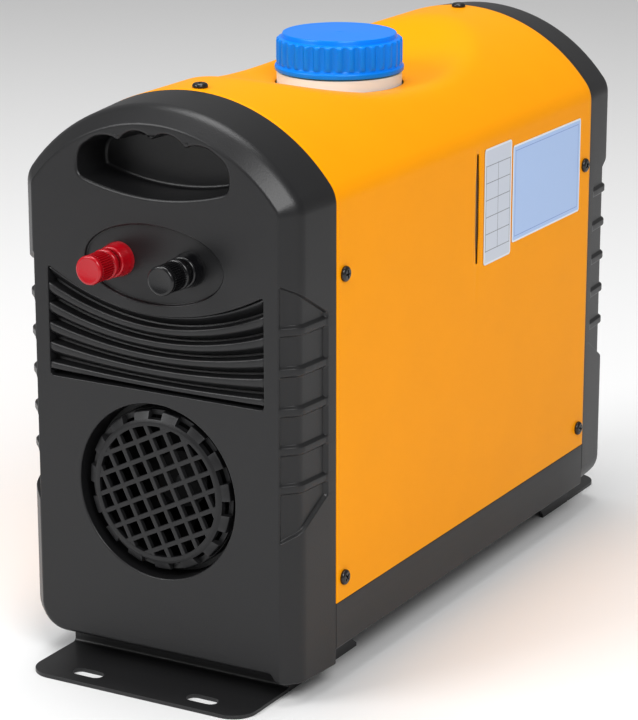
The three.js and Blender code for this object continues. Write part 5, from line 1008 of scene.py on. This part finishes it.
VENT_RING = [(35.6, 168), (38.5, 168), (38.6, 168.2), (38.6, 180.95), (43.8, 180.95), (44, 181.15),
             (44, 183.1), (43.8, 183.4), (39.0, 184.8), (38.6, 185.2), (38.6, 193.6), (38.3, 194),
             (36.0, 194), (35.6, 193.6), (35.6, 168)]
VENT_FRAME = [(33.1, 186), (35.2, 186), (35.3, 186.2), (35.3, 194.3), (41.6, 194.3), (41.8, 194.5, 0.2),
              (41.8, 197.2, 0.2), (41.5, 198.0, 0.1), (40.8, 198.7), (39.6, 199), (34.4, 199),
              (33.5, 198.7), (33.1, 198), (33.1, 186)]
SLAT_TILT = math.radians(-25)


def grip(turn):
    """Thirty shallow finger grips round the louvre's rim, from -1 to 1."""
    return np.tanh(3 * np.cos(30 * turn))


def slats():
    """Four slats with rounded edges, each as long as the bore at its height."""
    edge = np.vstack([fillet((-4.1, 0), 0.9, 90, 180, 7), fillet((4.1, 0), 0.9, -90, 180, 7)])
    edge = np.vstack([edge, edge[:1]])
    c, s = math.cos(SLAT_TILT), math.sin(SLAT_TILT)
    section = edge @ np.array([[c, s], [-s, c]])
    parts = []
    for row in (-1.5, -0.5, 0.5, 1.5):
        height = row * 14.71
        half = math.sqrt(34.2**2 - (abs(height) + 2.0) ** 2)
        parts.append(swept(section + [192.5, DUCT_Z + height], [-half, half], axis=0))
    return parts


DUCT_PLACE = (0, 0, DUCT_Z)
make_piece("outlet_collar", [([spun(VENT_RING, DUCT_PLACE, "y", 120)], None)], "body", ["outlet_ring"],
           BLACK_PLASTIC)
make_piece("outlet_slats", [([spun(VENT_FRAME, DUCT_PLACE, "y", 360, grip)], None)]
           + [([slat], None) for slat in slats()], "louvre", ["outlet_louvre"],
           GRILLE_PLASTIC)

# ---------------------------------------------------------------------------------------------
# Controller
# A low oval panel in the far cover's recess, with a dark display and four push buttons.

PANEL_FRONT = -1.5
DISPLAY_HALF = (16.0, 9.5)


def rounded_rectangle(half_x, half_z, centre, radius, steps=6):
    """A rounded rectangle's outline, counter-clockwise."""
    x, z = centre
    return np.vstack([
        fillet((x + sx * (half_x - radius), z + sz * (half_z - radius)), radius, start, 90, steps)
        for sx, sz, start in ((1, 1, 0), (-1, 1, 90), (-1, -1, 180), (1, -1, 270))
    ])


def stepped(outline, steps):
    """Rings of an outline: each step gives how far in it is moved, and its depth behind the end face."""
    rings = [inward(outline, distance) for distance, _ in steps]
    points = np.stack([
        np.column_stack([ring[:, 0], np.full(len(ring), -END_FACE + deep), ring[:, 1]])
        for ring, (_, deep) in zip(rings, steps)
    ])
    return points, grid_faces(len(steps), len(outline), closed=True)


def panel_groups():
    """The panel as one closed form, with a well for the display and one for each button."""
    plate = stepped(ellipse(39.9, 19.7, 220.2, 96),
                    [(0, 2.0), (0, -0.7), (0.1, -1.1), (0.4, -1.4), (0.9, PANEL_FRONT)])
    well_steps = [(0, PANEL_FRONT), (0.2, PANEL_FRONT + 0.2), (0.2, PANEL_FRONT + 1.0)]
    well = stepped(rounded_rectangle(16.5, 10.0, (0, 220.2), 1.6), well_steps)
    holes = [stepped(np.column_stack([x + 4.0 * np.cos(t), z + 4.0 * np.sin(t)]),
                     [(0, PANEL_FRONT), (0.2, PANEL_FRONT + 0.2), (0.2, 1.9)])
             for x in (-25, 25) for z in (214.2, 226.2)
             for t in [np.radians(np.linspace(0, 360, 32, endpoint=False))]]
    parts = [plate, well, *holes, flat_fill(plate[0][0]), flat_fill(well[0][-1])]
    parts += [flat_fill(hole[0][-1]) for hole in holes]
    parts.append(flat_fill(plate[0][-1], well[0][0], *[hole[0][0] for hole in holes]))
    return [(parts, None)]


def maths(tree, operation, *values):
    """A math node over numbers or sockets; gives its output."""
    node = tree.nodes.new("ShaderNodeMath")
    node.operation = operation
    for entry, value in zip(node.inputs, values):
        if isinstance(value, (int, float)):
            entry.default_value = value
        else:
            tree.links.new(value, entry)
    return node.outputs[0]


def film(name, axes, centre, half, base, edge, edge_width, line, line_at, rows=None, roughness=0.35):
    """A printed film: a base colour, an edge band, and a line drawn at a distance in from the edge.

    rows = (first, step, count) adds table lines at those heights and one down the middle.
    Lengths are in metres, in object coordinates.
    """
    material = bpy.data.materials.new(name)
    material.use_nodes = True
    tree = material.node_tree
    shader = tree.nodes["Principled BSDF"]
    place = tree.nodes.new("ShaderNodeTexCoord")
    split = tree.nodes.new("ShaderNodeSeparateXYZ")
    tree.links.new(place.outputs["Object"], split.inputs[0])
    u = maths(tree, "SUBTRACT", split.outputs[axes[0]], centre[0])
    v = maths(tree, "SUBTRACT", split.outputs[axes[1]], centre[1])
    in_u = maths(tree, "SUBTRACT", half[0], maths(tree, "ABSOLUTE", u))
    in_v = maths(tree, "SUBTRACT", half[1], maths(tree, "ABSOLUTE", v))
    inside = maths(tree, "MINIMUM", in_u, in_v)
    band = maths(tree, "LESS_THAN", inside, edge_width)
    off_line = maths(tree, "ABSOLUTE", maths(tree, "SUBTRACT", inside, line_at))
    drawn = maths(tree, "LESS_THAN", off_line, 0.00022)
    if rows:
        first, step, count = rows
        share = maths(tree, "DIVIDE", maths(tree, "SUBTRACT", first, v), step)
        near = maths(tree, "ABSOLUTE", maths(tree, "SUBTRACT", share, maths(tree, "ROUND", share)))
        ruled = maths(tree, "LESS_THAN", near, 0.0002 / step)
        middle = maths(tree, "LESS_THAN", maths(tree, "ABSOLUTE", u), 0.0002)
        within = maths(tree, "MULTIPLY", maths(tree, "GREATER_THAN", share, -0.05),
                       maths(tree, "LESS_THAN", share, count - 0.95))
        ruled = maths(tree, "MULTIPLY", maths(tree, "MAXIMUM", ruled, middle), within)
        ruled = maths(tree, "MULTIPLY", ruled, maths(tree, "GREATER_THAN", inside, line_at))
        sides = maths(tree, "MULTIPLY", maths(tree, "LESS_THAN", in_u, in_v), within)
        drawn = maths(tree, "MAXIMUM", ruled, maths(tree, "MULTIPLY", drawn, sides))
    cloud = tree.nodes.new("ShaderNodeTexNoise")
    cloud.inputs["Scale"].default_value = 60
    tree.links.new(place.outputs["Object"], cloud.inputs["Vector"])
    colour = None
    for mask, tint in ((band, edge), (drawn, line)):
        mix = tree.nodes.new("ShaderNodeMix")
        mix.data_type = "RGBA"
        tree.links.new(mask, mix.inputs["Factor"])
        if colour is None:
            mix.inputs["A"].default_value = (*base, 1)
        else:
            tree.links.new(colour, mix.inputs["A"])
        mix.inputs["B"].default_value = (*tint, 1)
        colour = mix.outputs["Result"]
    tree.links.new(colour, shader.inputs["Base Color"])
    patchy = maths(tree, "MULTIPLY_ADD", cloud.outputs["Fac"], 0.08, roughness - 0.04)
    tree.links.new(patchy, shader.inputs["Roughness"])
    return material


DISPLAY = film("display glass", (0, 2), (0, 0.2202), (0.016, 0.0095), (0.022, 0.040, 0.045),
               (0.004, 0.004, 0.005), 0.0016, (0.012, 0.022, 0.025), 0.0022, roughness=0.10)
GREY_PLASTIC = finished("grey plastic", (0.19, 0.19, 0.20), 0.45, patch=0.06, grain=(900.0, 0.12),
                        wear_and_highlight=0.25)
make_piece("controller_face", turned_round(panel_groups()), "body", ["controller_panel"],
           GLOSS_BLACK)
display = stepped(rounded_rectangle(*DISPLAY_HALF, (0, 220.2), 1.2),
                  [(0, -0.6), (0, -1.25), (0.12, -1.42), (0.35, PANEL_FRONT)])
display_parts = [display, flat_fill(display[0][0]), flat_fill(display[0][-1])]
make_piece("controller_display", turned_round([(display_parts, None)]), "body", ["controller_screen"],
           DISPLAY)
BUTTON = [(0, -0.7), (3.4, -0.7), (3.5, -0.6), (3.5, 2.2), (3.4, 2.55), (3.1, 2.78), (2.7, 2.8),
          (2.2, 2.7), (1.2, 2.55), (0, 2.5)]
for number in range(1, 5):
    x, _, z = middle_of(f"button_{number}")
    parts = placed([spun(BUTTON, count=40)], (0, 1, 0), (x, END_FACE, z))
    make_piece(f"push_{number}", [(parts, None)], f"button_{number}", [f"button_{number}"],
               GREY_PLASTIC)

# ---------------------------------------------------------------------------------------------
# Labels
# Two thin films on the +X side, left blank: a silver one ruled as a table and a pale blue one with
# a white edge and a thin frame.

SMALL_LABEL = (28.5, 217.15, 16.5, 32.15)
LARGE_LABEL = (91.2, 217.7, 44.25, 27.25)


def label_groups(y, z, half_y, half_z, radius):
    """A label's outer face, round at its corners, 0.35 mm proud of the shell."""
    outline = rounded_rectangle(half_y, half_z, (y, z), radius)
    face = np.column_stack([np.full(len(outline), HALF_WIDTH + 0.35), outline])
    return [([flat_fill(face, plane=(1, 2))], (1, 0, 0))]


SILVER_FILM = film("silver film", (1, 2), (0.0285, 0.21715), (0.0165, 0.03215), (0.60, 0.64, 0.72),
                   (0.76, 0.79, 0.84), 0.0011, (0.20, 0.22, 0.26), 0.0018,
                   rows=(0.0224, 0.0094, 6), roughness=0.30)
BLUE_FILM = film("blue film", (1, 2), (0.0912, 0.2177), (0.04425, 0.02725), (0.43, 0.58, 0.87),
                 (0.80, 0.84, 0.90), 0.0010, (0.21, 0.33, 0.66), 0.0032, roughness=0.30)
make_piece("side_label_small", label_groups(*SMALL_LABEL, 2.0), "body", ["small_label"],
           SILVER_FILM, wall=0.3)
make_piece("side_label_large", label_groups(*LARGE_LABEL, 1.6), "body", ["large_label"],
           BLUE_FILM, wall=0.3)

# ---------------------------------------------------------------------------------------------
# Inside
# The pieces behind the covers keep their solids and get their own finishes, save the fan and its plated
# shaft, which are darkened as painted shade.

CAST = finished("cast aluminium", (0.42, 0.43, 0.44), 0.52, patch=0.12, grain=(420.0, 0.5), wear_and_highlight=0.3,
                metallic=1.0)
SHEET = finished("aluminium sheet", (0.62, 0.63, 0.63), 0.34, patch=0.10, grain=(1800.0, 0.08),
                 metallic=1.0)
STAINLESS = finished("stainless steel", (0.50, 0.48, 0.45), 0.30, patch=0.15, grain=(900.0, 0.06),
                     metallic=1.0, worn_and_lit=(0.62, 0.55, 0.45))
RUBBER = finished("rubber", (0.022, 0.022, 0.022), 0.72, patch=0.08, grain=(700.0, 0.3), wear_and_highlight=0.1)
# The fan is made darker than black plastic, and the plated fan shaft a dark steel, as painted shade: both are
# seen only in the dark behind the intake grille.
FAN_PLASTIC = finished("fan plastic", (0.006, 0.006, 0.0065), 0.60, patch=0.08, grain=(900.0, 0.2),
                       wear_and_highlight=0.1, specular=0.3)
SHADED_SHAFT_STEEL = finished("shaft steel in painted shade", (0.05, 0.05, 0.052), 0.42, patch=0.10, grain=(900.0, 0.1),
                      metallic=1.0)
DARK_PLASTIC = finished("dark plastic", (0.014, 0.014, 0.015), 0.55, patch=0.08, grain=(900.0, 0.2),
                        wear_and_highlight=0.15)
CERAMIC = finished("ceramic", (0.78, 0.75, 0.68), 0.60, patch=0.08, grain=(900.0, 0.25), wear_and_highlight=0.0)
FUEL_LINE = finished("fuel line", (0.030, 0.029, 0.027), 0.40, patch=0.08, grain=(500.0, 0.1), wear_and_highlight=0.0)
for material, nodes in (
    (CAST, ("heat_exchanger", "blower_housing", "combustion_wheel")),
    (SHEET, ("tank_shelf", "control_unit")),
    (STAINLESS, ("burner", "fan_motor", "exhaust_pipe", "air_pipe", "fuel_pump")),
    (RUBBER, ("cap_liner", "pump_clamp")),
    (DARK_PLASTIC, ("core_lower", "core_upper")),
    (FAN_PLASTIC, ("hot_air_fan",)),
    (CERAMIC, ("glow_plug",)),
    (SHADED_SHAFT_STEEL, ("fan_shaft",)),
    (FUEL_LINE, ("tank_line", "burner_line")),
):
    for node in nodes:
        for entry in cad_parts[node].material_slots:
            entry.material = material

# ---------------------------------------------------------------------------------------------
# Camera, floor and lights

camera = bpy.data.objects.new("camera", bpy.data.cameras.new("camera"))
bpy.context.scene.collection.objects.link(camera)
bpy.context.scene.camera = camera
camera.location = (0.73307, -1.31687, 0.56616)
look = Vector((-0.47210, 0.83517, -0.28217))
camera.rotation_mode = "QUATERNION"
camera.rotation_quaternion = look.to_track_quat("-Z", "Y")
camera.data.lens = 140.8
camera.data.sensor_width = 36
camera.data.shift_x = -0.003
camera.data.shift_y = 0.001

floor_mesh = bpy.data.meshes.new("floor")
floor_mesh.from_pydata([(-6, -6, 0), (6, -6, 0), (6, 6, 0), (-6, 6, 0)], [], [(0, 1, 2, 3)])
floor = bpy.data.objects.new("floor", floor_mesh)
bpy.context.scene.collection.objects.link(floor)
pale = bpy.data.materials.new("pale floor")
pale.use_nodes = True
pale.node_tree.nodes["Principled BSDF"].inputs["Base Color"].default_value = (0.86, 0.86, 0.86, 1)
pale.node_tree.nodes["Principled BSDF"].inputs["Roughness"].default_value = 0.7
floor_mesh.materials.append(pale)

world = bpy.data.worlds.new("studio")
bpy.context.scene.world = world
world.use_nodes = True
world.node_tree.nodes["Background"].inputs["Color"].default_value = (1, 1, 1, 1)
world.node_tree.nodes["Background"].inputs["Strength"].default_value = 0.3


def soft_light(name, place, target, size, power):
    """A square soft light at a place, aimed at a target."""
    data = bpy.data.lights.new(name, "AREA")
    data.energy = power
    data.size = size
    light = bpy.data.objects.new(name, data)
    bpy.context.scene.collection.objects.link(light)
    light.location = place
    light.rotation_mode = "QUATERNION"
    light.rotation_quaternion = (Vector(target) - Vector(place)).to_track_quat("-Z", "Y")
    return light


soft_light("key", (-1.3, -1.7, 1.6), (0, 0, 0.15), 1.2, 24)
soft_light("side", (1.5, -1.5, 1.9), (0, 0, 0.15), 1.2, 32)
soft_light("top", (-0.2, 0.1, 2.2), (0, 0, 0.2), 1.2, 20)
bpy.context.scene.view_settings.view_transform = "Standard"
bpy.context.scene.view_settings.look = "Medium High Contrast"
